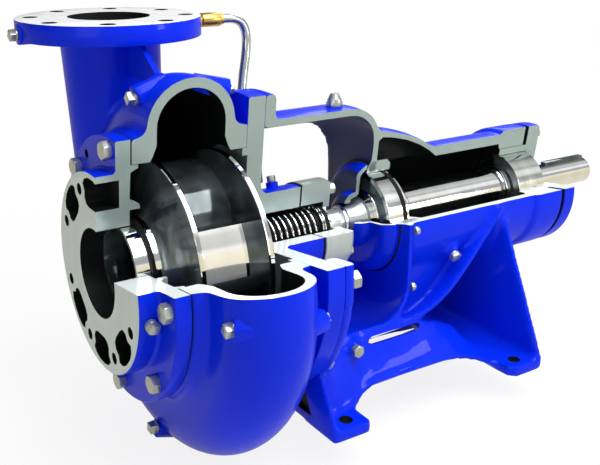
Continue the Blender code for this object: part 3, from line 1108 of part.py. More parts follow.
def gaskets():
    x0, x1 = COVER_T + GAP, CASE_X0 - GAP
    cut_turned("cover_gasket", [(x0, THROAT_R + SHAFT_EDGE), (x0, THROAT_R + SHAFT_EDGE + GASKET_W), (x1, THROAT_R + SHAFT_EDGE + GASKET_W), (x1, THROAT_R + SHAFT_EDGE)])
    x0, x1 = COVER_FACE_X + GAP, EYE_X - GAP
    cut_turned("eye_ring", [(x0, BORE_R), (x0, EYE_R), (x1, EYE_R), (x1, BORE_R)])
    x0, x1 = BOX_X + GAP, GLAND_X0 - GAP
    cut_turned("gland_gasket", [(x0, BOX_BORE + SHAFT_EDGE), (x0, GLAND_GASKET_R), (x1, GLAND_GASKET_R), (x1, BOX_BORE + SHAFT_EDGE)])
    x0, x1 = FRONT_X1 + GAP, FRONT_X1 + GAP + BAND_T
    turned("front_bearing_band", [(x0, FRONT_R - BAND_WALL), (x0, FRONT_R), (x1, FRONT_R), (x1, FRONT_R - BAND_WALL)])
    x0, x1 = x1 + SNAP_FIT, x1 + SNAP_FIT + SNAP_T
    turned("front_bearing_ring", [(x0, FRONT_R - BAND_WALL - GAP), (x0, FRONT_R - GAP), (x1, FRONT_R - GAP), (x1, FRONT_R - BAND_WALL - GAP)])
    x0, x1, shaft_r = OIL_SEAL_X, OIL_SEAL_X + OIL_SEAL_T, SHAFT_END_R + RUN_GAP
    turned("rear_oil_seal", [(x0, shaft_r), (x0, OIL_SEAL_R), (x1, OIL_SEAL_R), (x1, shaft_r)])


def bolts():
    for k, angle in enumerate(bolt_angles(JOINT_BOLTS)):
        hex_bolt("cover_bolt_%d" % (k + 1), COVER_RIM_X, CASE_X0 + BOLT_GRIP, COVER_PITCH_R, angle, COVER_BOLT, -1)
        hex_bolt("frame_bolt_%d" % (k + 1), RING_X1, PLATE_X0 + SHAFT_EDGE, FRAME_PITCH_R, angle, FRAME_BOLT, 1)
    for k, angle in enumerate(bolt_angles(GLAND_SCREWS)):
        hex_bolt("gland_bolt_%d" % (k + 1), GLAND_X1, BOX_X - TAPPED - OVERRUN, GLAND_PITCH_R, angle, GLAND_BOLT, 1)


# Finishing

def finish_kind(name):
    if name in ("volute_casing", "suction_cover", "back_plate", "bearing_frame", "front_bearing_cover", "rear_cartridge"):
        return "blue"
    if "bolt" in name or "plug" in name or name in ("flush_elbow", "breather_cap"):
        return "zinc"
    if "gasket" in name or name in ("front_bearing_band", "eye_ring", "rear_oil_seal", "seal_bellows", "seal_seat"):
        return "rubber"
    if name in ("flush_fitting", "seal_gland"):
        return {"flush_fitting": "brass", "seal_gland": "gland"}[name]
    return "steel" if "bearing" in name else "chrome"


def paint(ob):
    """Gives the piece a material of its own."""
    colour, roughness, metallic = FINISHES[finish_kind(ob.name)]
    material = bpy.data.materials.new(ob.name)
    material.use_nodes = True
    material.diffuse_color = colour
    shader = material.node_tree.nodes["Principled BSDF"]
    shader.inputs["Base Color"].default_value = colour
    shader.inputs["Roughness"].default_value = roughness
    shader.inputs["Metallic"].default_value = metallic
    ob.data.materials.clear()
    ob.data.materials.append(material)


def tidy(mesh):
    """Triangles only, with the thinnest slivers closed up where the mesh stays whole."""
    for dist in WELD_STEPS:
        bm = bmesh.new()
        bm.from_mesh(mesh)
        if dist:
            bmesh.ops.remove_doubles(bm, verts=bm.verts, dist=dist)
            bmesh.ops.dissolve_degenerate(bm, dist=dist / 2, edges=bm.edges)
        bmesh.ops.dissolve_limit(bm, angle_limit=math.radians(FLAT_ANGLE), verts=bm.verts, edges=bm.edges)
        bmesh.ops.triangulate(bm, faces=bm.faces)
        whole = all(len(e.link_faces) == 2 for e in bm.edges)
        if whole or not dist:
            bm.to_mesh(mesh)
        bm.free()
        if whole:
            break
    mesh.shade_smooth()
    mesh.set_sharp_from_angle(angle=math.radians(SMOOTH_ANGLE))


def place(obs):
    """Hangs every piece on one empty on the shaft axis, so that the whole stands on its lowest point."""
    stand = bpy.data.objects.new("pump", None)
    bpy.context.scene.collection.objects.link(stand)
    corners = [v.co for ob in obs if ob.type == "MESH" for v in ob.data.vertices]
    low = Vector([min(c[i] for c in corners) for i in range(3)])
    high = Vector([max(c[i] for c in corners) for i in range(3)])
    stand.location = (-(low.x + high.x) / 2, -(low.y + high.y) / 2, -low.z)
    for ob in obs:
        ob.parent = stand


def main():
    for ob in list(bpy.data.objects):
        bpy.data.objects.remove(ob, do_unlink=True)
    volute_casing()
    suction_cover()
    impeller()
    bar("impeller_nut", (NUT_X, 0, 0), (HUB_NOSE_X - GAP, 0, 0), NUT_R, 6)
    back_plate()
    seal_gland()
    seal_parts()
    shaft()
    bearing("front", FRONT_X0, FRONT_X1, FRONT_BORE, FRONT_R, FRONT_PITCH_R, FRONT_BALL_R)
    bearing("rear", REAR_X0, REAR_X1, REAR_BORE, REAR_R, REAR_PITCH_R, REAR_BALL_R)
    ball_set("front_bearing_cage", (FRONT_X0 + FRONT_W / 2,), FRONT_PITCH_R, FRONT_BALL_R, FRONT_BALLS)
    middle, half = REAR_X0 + REAR_W / 2, REAR_ROW_SPACING / 2
    ball_set("rear_bearing_cage", (middle - half, middle + half), REAR_PITCH_R, REAR_BALL_R, REAR_BALLS)
    bearing_frame()
    front_bearing_cover()
    rear_cartridge()
    gaskets()
    bolts()
    plugs()
    flush_tube()
    flush_ends()
    pieces = [ob for ob in bpy.context.scene.objects if ob.type in ("MESH", "CURVE")]
    for ob in pieces:
        if ob.type == "MESH":
            tidy(ob.data)
        paint(ob)
    place(pieces)


main()
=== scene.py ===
"""Sectioned slurry pump: castings, turned parts, seal, bearings and finishes over the solid model.

Shapes are drawn in millimetres from the centre of the suction face (X along the shaft, Z up)
and settled into the shared frame in metres when each piece is finished.
"""
import json
import math

import bmesh
import bpy
from mathutils import Matrix, Vector


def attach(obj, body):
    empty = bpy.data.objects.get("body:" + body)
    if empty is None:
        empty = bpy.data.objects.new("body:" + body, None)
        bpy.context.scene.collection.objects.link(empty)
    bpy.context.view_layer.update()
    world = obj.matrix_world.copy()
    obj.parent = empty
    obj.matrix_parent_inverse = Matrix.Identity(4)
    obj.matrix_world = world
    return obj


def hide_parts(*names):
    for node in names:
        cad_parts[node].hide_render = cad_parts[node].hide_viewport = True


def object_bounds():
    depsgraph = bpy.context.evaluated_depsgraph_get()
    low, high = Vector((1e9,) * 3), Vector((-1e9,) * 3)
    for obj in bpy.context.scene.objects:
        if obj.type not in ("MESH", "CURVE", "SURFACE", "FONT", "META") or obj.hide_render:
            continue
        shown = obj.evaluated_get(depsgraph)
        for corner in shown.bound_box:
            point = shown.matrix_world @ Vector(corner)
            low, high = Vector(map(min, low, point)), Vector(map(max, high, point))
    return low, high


bl_info = {
    "name": "Sectioned Slurry Pump",
    "version": (1, 0, 0),
    "blender": (4, 5, 0),
    "location": "View3D > Sidebar > Pump",
    "description": "Models the castings, shaft, seal and bearings of a sectioned slurry pump",
    "category": "Object",
}

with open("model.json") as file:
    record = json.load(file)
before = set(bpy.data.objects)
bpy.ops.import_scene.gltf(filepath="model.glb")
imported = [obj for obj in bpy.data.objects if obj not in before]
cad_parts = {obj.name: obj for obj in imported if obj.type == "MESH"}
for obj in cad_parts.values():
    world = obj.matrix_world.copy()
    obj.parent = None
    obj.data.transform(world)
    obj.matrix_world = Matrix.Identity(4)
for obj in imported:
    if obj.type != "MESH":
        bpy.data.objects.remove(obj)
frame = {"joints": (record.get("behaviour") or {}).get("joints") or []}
SOLID_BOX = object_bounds()
SPIN = next(j for j in frame["joints"] if j["name"] == "shaft_spin")
ORIGIN = Vector(SPIN["pos_m"]) * 1000.0 - Vector((450.0, 0.0, 0.0))
MM = 0.001

# angles of the two section planes from straight up
CUT_TOP = 7.5
CUT_SIDE = 82.5

# places that several pieces share
NECK_X, NECK_Y = 109, 194
FLANGE_LOW, FLANGE_TOP = 232, 256
SCROLL_X = 112.5
COVER_BOLTS = 136.6
NIPPLE_X, NIPPLE_ANGLE = 236, 346
DRAIN_X, DRAIN_ANGLE = 459, 122
LUG_X, LUG_Z = 280, -126

FINISHES = {}


# Sizes and colours that a user may change; the camera unit holds and shows a length in millimetres

class CastingSizes(bpy.types.PropertyGroup):
    flange_radius: bpy.props.FloatProperty(
        name="Flange radius", description="Outer radius of both pipe flanges, in millimetres",
        default=114.3, min=60.0, unit="CAMERA")
    bolt_circle: bpy.props.FloatProperty(
        name="Bolt circle", description="Radius of the flange bolt circle, in millimetres",
        default=95.25, min=40.0, unit="CAMERA")
    scroll_start: bpy.props.FloatProperty(
        name="Scroll start", description="Outer radius of the casing at the top, in millimetres",
        default=211.0, min=160.0, unit="CAMERA")
    scroll_growth: bpy.props.FloatProperty(
        name="Scroll growth", description="Growth of the casing radius, in millimetres for each degree",
        default=0.16)
    casting_grain: bpy.props.FloatProperty(
        name="Casting grain", description="Size of the voxels that round the cast edges, in millimetres",
        default=4.0, min=1.0, unit="CAMERA")


class RotorSizes(bpy.types.PropertyGroup):
    impeller_radius: bpy.props.FloatProperty(
        name="Impeller radius", description="Outer radius of the impeller, in millimetres",
        default=118.0, min=50.0, unit="CAMERA")
    shaft_radius: bpy.props.FloatProperty(
        name="Shaft radius", description="Radius of the shaft between the bearings, in millimetres",
        default=31.0, min=10.0, unit="CAMERA")
    end_radius: bpy.props.FloatProperty(
        name="Shaft end radius", description="Radius of the keyed shaft end, in millimetres",
        default=19.05, min=5.0, unit="CAMERA")
    vanes: bpy.props.IntProperty(
        name="Vanes", description="Number of impeller vanes", default=3, min=1, max=6)
    spring_turns: bpy.props.IntProperty(
        name="Spring turns", description="Turns of the seal spring", default=8, min=3)


class FinishColours(bpy.types.PropertyGroup):
    paint: bpy.props.FloatVectorProperty(
        name="Paint", description="Colour of the painted castings",
        subtype="COLOR", size=4, min=0.0, max=1.0, default=(0.001, 0.021, 0.66, 1.0))
    section: bpy.props.FloatVectorProperty(
        name="Section face", description="Colour of the sectioned and machined iron",
        subtype="COLOR", size=4, min=0.0, max=1.0, default=(0.30, 0.375, 0.355, 1.0))
    # Near black for the casting's inside, also used as painted shade in holes, bores, pockets, recesses and
    # the far faces of some parts
    dark_inside_and_painted_shade: bpy.props.FloatVectorProperty(
        name="Casing inside", description="Colour of the casting's unpainted inside",
        subtype="COLOR", size=4, min=0.0, max=1.0, default=(0.005, 0.006, 0.0065, 1.0))
    brass: bpy.props.FloatVectorProperty(
        name="Brass", description="Colour of the brass fitting",
        subtype="COLOR", size=4, min=0.0, max=1.0, default=(0.66, 0.43, 0.11, 1.0))


class StageSettings(bpy.types.PropertyGroup):
    lens: bpy.props.FloatProperty(
        name="Lens", description="Focal length of the camera, in millimetres",
        default=53.67, min=10.0, unit="CAMERA")
    key_power: bpy.props.FloatProperty(
        name="Key light", description="Power of the large overhead lamp, in watts",
        default=50.0, min=0.0, unit="POWER")
    fill_power: bpy.props.FloatProperty(
        name="Fill light", description="Power that the other three lamps share out, in watts",
        default=16.0, min=0.0, unit="POWER")


# Drawing helpers

def at(x, r, deg):
    """A point at radius r from the shaft axis; the angle runs from straight up towards the near side."""
    a = math.radians(deg)
    return Vector((x, -r * math.sin(a), r * math.cos(a)))


def off_axis(point):
    """Distance of a point from the shaft axis."""
    return math.hypot(point.y, point.z)


def arc(cx, cr, r, a0, a1, n):
    """Points (x, r) along a circle, in n steps from one angle to the other."""
    angles = [math.radians(a0 + (a1 - a0) * i / n) for i in range(n + 1)]
    return [(cx + r * math.cos(a), cr + r * math.sin(a)) for a in angles]


def pick(ob):
    """Selects one object and nothing else."""
    bpy.ops.object.select_all(action="DESELECT")
    bpy.context.view_layer.objects.active = ob
    ob.select_set(True)


def started(name, add, **how):
    """Adds a primitive while nothing else is selected, and names it."""
    bpy.ops.object.select_all(action="DESELECT")
    add(**how)
    ob = bpy.context.object
    ob.name = ob.data.name = name
    return ob


def edit(ob):
    pick(ob)
    bpy.ops.object.mode_set(mode="EDIT")
    bpy.ops.mesh.select_all(action="SELECT")


def leave_edit():
    bpy.ops.object.mode_set(mode="OBJECT")
    return bpy.context.object


def faced_outwards():
    """Turns all faces outwards and leaves edit mode."""
    bpy.ops.mesh.select_all(action="SELECT")
    bpy.ops.mesh.normals_make_consistent(inside=False)
    return leave_edit()


def draw_outline(name, points, closed=True):
    """Draws a line of points by extruding one vertex, and stays in edit mode."""
    ob = started(name, bpy.ops.mesh.primitive_plane_add, size=1, location=(0, 0, 0))
    edit(ob)
    bpy.ops.mesh.merge(type="CENTER")
    bpy.ops.transform.translate(value=points[0])
    for a, b in zip(points, points[1:]):
        bpy.ops.mesh.extrude_region_move(TRANSFORM_OT_translate={"value": Vector(b) - Vector(a)})
    if closed:
        bm = bmesh.from_edit_mesh(ob.data)
        for v in bm.verts:
            v.select = len(v.link_edges) == 1
        bm.select_flush_mode()
        bmesh.update_edit_mesh(ob.data)
        bpy.ops.mesh.edge_face_add()
    bpy.ops.mesh.select_all(action="SELECT")


def turned(name, outline, start=0.0, end=360.0, steps=96):
    """A turned piece: its half outline (x, r) is drawn and spun about the shaft axis."""
    draw_outline(name, [at(x, r, start) for x, r in outline])
    bpy.ops.mesh.spin(steps=steps, angle=-math.radians(end - start), center=(0, 0, 0), axis=(1, 0, 0))
    bpy.ops.mesh.select_all(action="SELECT")
    bpy.ops.mesh.remove_doubles(threshold=0.005)
    bpy.ops.mesh.delete_loose()
    bpy.ops.mesh.select_all(action="SELECT")
    if end - start < 360.0:
        bpy.ops.mesh.fill_holes(sides=0)
    return faced_outwards()


def sectioned(name, outline, steps=76):
    """A turned piece of the fixed half, with the near upper quarter left out."""
    return turned(name, outline, CUT_SIDE, 360.0 + CUT_TOP, steps)


def pulled(name, points, pull):
    """A flat outline, filled and pulled along a straight line."""
    draw_outline(name, points)
    bpy.ops.mesh.edge_face_add()
    bpy.ops.mesh.select_all(action="SELECT")
    bpy.ops.mesh.extrude_region_move(TRANSFORM_OT_translate={"value": pull})
    return faced_outwards()


def prism(name, outline, low, high, axis):
    """An outline in the two other axes, pulled from low to high along one axis."""
    points = []
    for p in outline:
        q = list(p)
        q.insert(axis, low)
        points.append(Vector(q))
    pull = [0.0, 0.0, 0.0]
    pull[axis] = high - low
    return pulled(name, points, pull)


def placed(ob, seat, out, turn=0.0):
    """Stands a piece that was modelled on the Z axis on its seat, turned about its own axis."""
    lean = Vector(out).to_track_quat("Z", "Y").to_matrix().to_4x4()
    ob.data.transform(Matrix.Translation(Vector(seat)) @ lean @ Matrix.Rotation(math.radians(turn), 4, "Z"))
    return ob


def rod(name, a, b, radius, sides=32, radius_b=None, turn=0.0):
    """A round or polygonal bar from a to b, which may taper to a second radius."""
    a, b = Vector(a), Vector(b)
    if radius_b is None:
        radius_b = radius
    ob = started(name, bpy.ops.mesh.primitive_cone_add, vertices=sides, radius1=radius, radius2=radius_b,
                 depth=(b - a).length, location=(0, 0, 0))
    return placed(ob, (a + b) / 2, b - a, turn)


def block(name, low, high):
    """A box between two corners."""
    ob = started(name, bpy.ops.mesh.primitive_cube_add, size=1, location=(0, 0, 0))
    low, high = Vector(low), Vector(high)
    size = high - low
    ob.data.transform(Matrix.Translation((low + high) / 2) @ Matrix.Diagonal((size.x, size.y, size.z, 1.0)))
    return ob


def disc(name, radius, sides, place, lean=(0.0, 0.0, 0.0)):
    """A filled circle, left in edit mode with its face selected."""
    ob = started(name, bpy.ops.mesh.primitive_circle_add, vertices=sides, radius=radius,
                 fill_type="NGON", location=place, rotation=lean)
    bpy.ops.object.transform_apply(location=True, rotation=True, scale=True)
    edit(ob)


def drawn_pipe(name, stations, sides=48):
    """An upright pipe drawn through circles: height, radius, x and y of each."""
    z, r, x, y = stations[0]
    disc(name, r, sides, (x, y, z))
    for (z0, r0, x0, y0), (z1, r1, x1, y1) in zip(stations, stations[1:]):
        bpy.ops.mesh.extrude_region_move(TRANSFORM_OT_translate={"value": (x1 - x0, y1 - y0, z1 - z0)})
        bpy.ops.transform.resize(value=(r1 / r0, r1 / r0, 1.0), center_override=(x1, y1, z1))
    return faced_outwards()


def plated(name, rows, thickness):
    """A curved plate: a grid laid over rows of points and thickened."""
    m, n = len(rows), len(rows[0])
    ob = started(name, bpy.ops.mesh.primitive_grid_add, x_subdivisions=n - 1, y_subdivisions=m - 1,
                 size=1, location=(0, 0, 0))
    for v in ob.data.vertices:
        i = round((v.co.y + 0.5) * (m - 1))
        j = round((v.co.x + 0.5) * (n - 1))
        v.co = rows[i][j]
    solid = ob.modifiers.new("thickness", "SOLIDIFY")
    solid.thickness = thickness
    solid.offset = 0.0
    solid.use_even_offset = True
    edit(apply_all(ob))
    return faced_outwards()


def apply_all(ob):
    pick(ob)
    for mod in list(ob.modifiers):
        bpy.ops.object.modifier_apply(modifier=mod.name)
    return ob


def joined(name, obs):
    bpy.ops.object.select_all(action="DESELECT")
    for ob in obs:
        ob.select_set(True)
    bpy.context.view_layer.objects.active = obs[0]
    if len(obs) > 1:
        bpy.ops.object.join()
    ob = bpy.context.object
    ob.name = ob.data.name = name
    return ob


def carve(ob, tools, operation="DIFFERENCE"):
    """Cuts, joins or keeps with all tools at once; each leaves its own finish on the faces it makes."""
    group = bpy.data.collections.new("tools")
    for t in tools:
        group.objects.link(t)
    mod = ob.modifiers.new("carve", "BOOLEAN")
    mod.operation = operation
    mod.solver = "EXACT"
    mod.operand_type = "COLLECTION"
    mod.collection = group
    mod.material_mode = "TRANSFER"
    apply_all(ob)
    for t in tools:
        bpy.data.objects.remove(t, do_unlink=True)
    bpy.data.collections.remove(group)
    return ob


def coat(ob, finish):
    ob.data.materials.clear()
    ob.data.materials.append(FINISHES[finish])
    return ob


def cast(ob, size, rounds=5):
    """Rounds all edges the way a sand casting has them."""
    grain = ob.modifiers.new("grain", "REMESH")
    grain.mode = "VOXEL"
    grain.voxel_size = size
    ease = ob.modifiers.new("ease", "SMOOTH")
    ease.factor = 0.5
    ease.iterations = rounds
    return apply_all(ob)


def soften(ob, width, segments=2, angle=40.0):
    edge = ob.modifiers.new("edge", "BEVEL")
    edge.width = width
    edge.segments = segments
    edge.limit_method = "ANGLE"
    edge.angle_limit = math.radians(angle)
    edge.miter_outer = "MITER_ARC"
    return apply_all(ob)


def cut_wedge(x0, x1):
    """The quarter between the two section planes, which is taken out of the fixed castings."""
    corners = at(0, 1.0, CUT_TOP), at(0, 1.0, CUT_SIDE)
    outline = [(0.0, 0.0)] + [(c.y * 520.0, c.z * 520.0) for c in corners]
    return coat(prism("wedge", outline, x0, x1, 0), "section")


def finish_slot(ob, finish):
    """The piece's material slot for a finish, which is added if it has none."""
    mats = ob.data.materials
    if mats.find(FINISHES[finish].name) < 0:
        mats.append(FINISHES[finish])
    return mats.find(FINISHES[finish].name)


def section_faces(ob):
    """Gives the section finish to every face that lies in one of the two section planes."""
    slot = finish_slot(ob, "section")
    planes = [(at(0, 1, a + 90.0), at(0, 1, a)) for a in (CUT_TOP, CUT_SIDE)]
    corners = ob.data.vertices
    for p in ob.data.polygons:
        for normal, along in planes:
            if p.center.dot(along) > 0 and all(abs(corners[i].co.dot(normal)) < 0.05 for i in p.vertices):
                p.material_index = slot
    return ob


def faces_where(ob, finish, rule):
    """Gives the finish to the faces for which rule(centre, normal) is true."""
    slot = finish_slot(ob, finish)
    for p in ob.data.polygons:
        if rule(p.center, p.normal):
            p.material_index = slot
    return ob


def settle(ob, body, nodes=(), smooth=34.0):
    """Puts a finished piece in the shared frame, smooths it, and ties it to its body; section faces that look
    up get a far lighter copy of the section finish, painted light.
    """
    section = ob.data.materials.find("section")
    if section >= 0:
        # Section faces that look straight up take a near-white copy of the section finish: painted light from
        # above
        bright = finish_slot(ob, "section_painted_light")
        for p in ob.data.polygons:
            if p.material_index == section and p.normal.z > 0.97:
                p.material_index = bright
    pick(ob)
    ob.scale = (MM, MM, MM)
    ob.location = ORIGIN * MM
    bpy.ops.object.transform_apply(location=True, rotation=True, scale=True)
    bpy.ops.object.shade_smooth_by_angle(angle=math.radians(smooth))
    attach(ob, body)
    if nodes:
        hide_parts(*nodes)
    return ob


def copied(ob, name):
    """A copy with a mesh of its own."""
    new = ob.copy()
    new.data = ob.data.copy()
    new.name = new.data.name = name
    bpy.context.scene.collection.objects.link(new)
    return new


# Finishes

def links(tree, *pairs):
    for a, b in pairs:
        tree.links.new(a, b)


def node(tree, kind, **values):
    """Adds a node and sets the inputs named, with a low line for each space."""
    n = tree.nodes.new(kind)
    for key, value in values.items():
        n.inputs[key.replace("_", " ")].default_value = value
    return n


def group_of(name, sockets_in, sockets_out):
    """A new node group with its named sockets, and its input and output nodes."""
    g = bpy.data.node_groups.new(name, "ShaderNodeTree")
    for n, kind, value in sockets_in:
        s = g.interface.new_socket(name=n, in_out="INPUT", socket_type=kind)
        if value is not None:
            s.default_value = value
    for n, kind in sockets_out:
        g.interface.new_socket(name=n, in_out="OUTPUT", socket_type=kind)
    return g, g.nodes.new("NodeGroupInput"), g.nodes.new("NodeGroupOutput")


def noise(tree, vector, scale, detail, rough):
    n = node(tree, "ShaderNodeTexNoise", Scale=scale, Detail=detail, Roughness=rough)
    tree.links.new(vector, n.inputs["Vector"])
    return n


def calc(tree, op, *terms):
    """A Math node fed with numbers and sockets."""
    n = tree.nodes.new("ShaderNodeMath")
    n.operation = op
    for i, v in enumerate(terms):
        if isinstance(v, (int, float)):
            n.inputs[i].default_value = v
        else:
            tree.links.new(v, n.inputs[i])
    return n.outputs[0]


def surface_group():
    """Shared unevenness: a broad cloud, and a height for the bump with a fine grain added."""
    g, gi, go = group_of(
        "uneven surface",
        [("Vector", "NodeSocketVector", None), ("Broad", "NodeSocketFloat", 9.0),
         ("Fine", "NodeSocketFloat", 260.0), ("Mix", "NodeSocketFloat", 0.35)],
        [("Cloud", "NodeSocketFloat"), ("Height", "NodeSocketFloat")])
    cloud = node(g, "ShaderNodeTexNoise", Detail=2.0)
    grain = node(g, "ShaderNodeTexNoise", Detail=3.0)
    links(g, (gi.outputs["Vector"], cloud.inputs["Vector"]), (gi.outputs["Vector"], grain.inputs["Vector"]),
          (gi.outputs["Broad"], cloud.inputs["Scale"]), (gi.outputs["Fine"], grain.inputs["Scale"]))
    height = calc(g, "ADD", cloud.outputs[0], calc(g, "MULTIPLY", grain.outputs[0], gi.outputs["Mix"]))
    links(g, (cloud.outputs[0], go.inputs["Cloud"]), (height, go.inputs["Height"]))
    return g


def lathe_group():
    """Rings round the shaft axis, as a lathe leaves them, with a little drift."""
    g, gi, go = group_of(
        "lathe rings",
        [("Vector", "NodeSocketVector", None), ("Pitch", "NodeSocketFloat", 900.0)],
        [("Rings", "NodeSocketFloat"), ("Bands", "NodeSocketFloat")])
    parts = g.nodes.new("ShaderNodeSeparateXYZ")
    links(g, (gi.outputs["Vector"], parts.inputs[0]))
    x, y, z = parts.outputs
    radius = calc(g, "SQRT", calc(g, "ADD", calc(g, "MULTIPLY", y, y), calc(g, "MULTIPLY", z, z)))
    along = g.nodes.new("ShaderNodeCombineXYZ")
    links(g, (calc(g, "ADD", radius, x), along.inputs[0]))
    rings = noise(g, along.outputs[0], 1.0, 4.0, 0.7)
    bands = noise(g, along.outputs[0], 35.0, 2.0, 0.5)
    links(g, (gi.outputs["Pitch"], rings.inputs["Scale"]), (rings.outputs[0], go.inputs["Rings"]),
          (bands.outputs[0], go.inputs["Bands"]))
    return g


def finish_base(name, colour, rough, metal, coat_weight=0.0, specular=0.5, coat_rough=0.04):
    """A new finish with its plain values; gives back its nodes and its shader."""
    m = bpy.data.materials.new(name)
    m.use_nodes = True
    m.diffuse_color = colour
    shader = m.node_tree.nodes["Principled BSDF"]
    plain = {"Base Color": colour, "Roughness": rough, "Metallic": metal, "Coat Weight": coat_weight,
             "Coat Roughness": coat_rough, "Specular IOR Level": specular}
    for key, value in plain.items():
        shader.inputs[key].default_value = value
    FINISHES[name] = m
    return m.node_tree, shader


def patterned(tree, group, **values):
    """Places a shared group, read from the shaft axis in object coordinates."""
    place = tree.nodes.new("ShaderNodeTexCoord")
    centred = node(tree, "ShaderNodeMapping", Location=-(ORIGIN * MM))
    n = tree.nodes.new("ShaderNodeGroup")
    n.node_tree = group
    links(tree, (place.outputs["Object"], centred.inputs["Vector"]), (centred.outputs[0], n.inputs["Vector"]))
    for key, value in values.items():
        n.inputs[key].default_value = value
    return n


def tint(tree, shader, factor, colour, spread):
    """Lets the colour drift a little darker and lighter over the surface."""
    ramp = tree.nodes.new("ShaderNodeValToRGB")
    for e, position, k in zip(ramp.color_ramp.elements, (0.35, 0.65), (1 - spread, 1 + spread)):
        e.position = position
        e.color = [min(1.0, v * k) for v in colour[:3]] + [1.0]
    links(tree, (factor, ramp.inputs[0]), (ramp.outputs[0], shader.inputs["Base Color"]))


def bump(tree, shader, height, strength, distance):
    b = node(tree, "ShaderNodeBump", Strength=strength, Distance=distance)
    links(tree, (height, b.inputs["Height"]), (b.outputs[0], shader.inputs["Normal"]))


def rough_from(tree, shader, factor, low, high):
    """Lets the roughness drift between two values over the surface."""
    r = node(tree, "ShaderNodeMapRange", From_Min=0.3, From_Max=0.7, To_Min=max(0.02, low), To_Max=high)
    links(tree, (factor, r.inputs["Value"]), (r.outputs[0], shader.inputs["Roughness"]))


class PUMP_OT_finishes(bpy.types.Operator):
    """Make the paint, section, chrome, zinc, brass and rubber finishes"""
    bl_idname = "pump.finishes"
    bl_label = "Finishes"

    def execute(self, context):
        cols = context.scene.pump_colours
        uneven, rings = surface_group(), lathe_group()

        def simple(name, colour, rough, metal, broad, fine, mix, strength, depth, spread=0.12,
                   rough_spread=0.06, **kw):
            t, shader = finish_base(name, colour, rough, metal, **kw)
            n = patterned(t, uneven, Broad=broad, Fine=fine, Mix=mix)
            tint(t, shader, n.outputs["Cloud"], colour, spread)
            rough_from(t, shader, n.outputs["Cloud"], rough - rough_spread, rough + rough_spread)
            bump(t, shader, n.outputs["Height"], strength, depth)

        def machined(name, colour, rough, metal, pitch, strength, spread=0.1, **kw):
            t, shader = finish_base(name, colour, rough, metal, **kw)
            n = patterned(t, rings, Pitch=pitch)
            tint(t, shader, n.outputs["Bands"], colour, spread)
            rough_from(t, shader, n.outputs["Bands"], rough - 0.03, rough + 0.04)
            bump(t, shader, n.outputs["Rings"], strength, 0.0002)

        simple("paint", tuple(cols.paint), 0.36, 0.0, 7.0, 150.0, 0.10, 0.06, 0.001,
               spread=0.06, coat_weight=0.14, coat_rough=0.03, specular=0.05)
        # Darker copy of the blue paint for faces inside the yoke and behind the front cover: painted shade,
        # not a second coat
        simple("painted_shade_blue", (0.010, 0.021, 0.095, 1.0), 0.42, 0.0, 7.0, 150.0, 0.10, 0.06, 0.001,
               spread=0.12, coat_weight=0.1, specular=0.2)
        simple("section", tuple(cols.section), 0.20, 0.22, 6.0, 420.0, 0.2, 0.02, 0.0003,
               spread=0.05, coat_weight=0.2, coat_rough=0.08)
        # Near-white copy of the section finish for section faces that look up: painted light from above
        simple("section_painted_light", (0.88, 0.97, 0.97, 1.0), 0.16, 0.15, 6.0, 420.0, 0.2, 0.02, 0.0003,
               spread=0.04, coat_weight=0.3, coat_rough=0.05)
        # Near black for the insides of castings; on holes, bores, pockets, recesses and far faces it is
        # painted shade
        simple("dark_inside_and_painted_shade", tuple(cols.dark_inside_and_painted_shade), 0.50, 0.0, 12.0, 220.0, 0.4, 0.25, 0.001,
               spread=0.3, coat_weight=0.0, specular=0.16)
        simple("rubber", (0.008, 0.008, 0.009, 1.0), 0.42, 0.0, 20.0, 500.0, 0.3, 0.08, 0.0003,
               spread=0.2, specular=0.08)
        simple("zinc", (0.44, 0.48, 0.45, 1.0), 0.32, 0.75, 40.0, 600.0, 0.5, 0.15, 0.0003,
               spread=0.12, rough_spread=0.08)
        simple("brass", tuple(cols.brass), 0.30, 0.9, 40.0, 500.0, 0.4, 0.08, 0.0003, spread=0.1)
        simple("smoked", (0.100, 0.120, 0.128, 1.0), 0.12, 0.6, 22.0, 300.0, 0.15, 0.03, 0.0004, spread=0.6)
        machined("chrome", (0.84, 0.85, 0.84, 1.0), 0.06, 1.0, 900.0, 0.02, spread=0.05)
        machined("steel", (0.74, 0.76, 0.74, 1.0), 0.12, 1.0, 1100.0, 0.04, spread=0.07)
        machined("polished", (0.90, 0.90, 0.87, 1.0), 0.09, 0.72, 900.0, 0.02, spread=0.05)
        machined("satin", (0.56, 0.61, 0.62, 1.0), 0.30, 0.75, 900.0, 0.03, spread=0.08)
        machined("tube", (0.44, 0.49, 0.52, 1.0), 0.16, 0.9, 900.0, 0.02, spread=0.06)
        machined("shield", (0.17, 0.20, 0.215, 1.0), 0.22, 0.85, 900.0, 0.03, spread=0.15)
        machined("gland", (0.46, 0.51, 0.48, 1.0), 0.28, 0.30, 900.0, 0.04, spread=0.06, coat_weight=0.2)
        machined("faced", (0.52, 0.63, 0.62, 1.0), 0.30, 0.15, 700.0, 0.05, spread=0.06, coat_weight=0.2)
        # Near-white copy of the faced finish for the machined face that looks up: painted light from above
        machined("faced_painted_light", (0.96, 0.98, 0.97, 1.0), 0.28, 0.1, 700.0, 0.05, spread=0.03, coat_weight=0.3)
        return {"FINISHED"}


# Casing

# each plug boss on the scroll: angle, radius and x of its seat, then x and radius of its root
TAPS = (
    (356, 187, 63, 100, 203), (92, 192, 65, 102, 213), (180, 212, 62, 102, 230), (270, 200, 62, 102, 218),
    (359, 187, 168, 128, 200), (97, 192, 168, 128, 208),
)

# radius of the scroll's channel, outside and inside
CHANNEL, CHANNEL_BORE = 53.5, 42.0

# spans in which the scroll is turned: first and last angle, steps, and whether it counts back from the top
WALL_SPANS = ((70.0, 270.0, 50, False), (262.0, 376.0, 29, True))
HOLLOW_SPANS = ((66.0, 272.0, 52, False), (264.0, 380.0, 29, True))

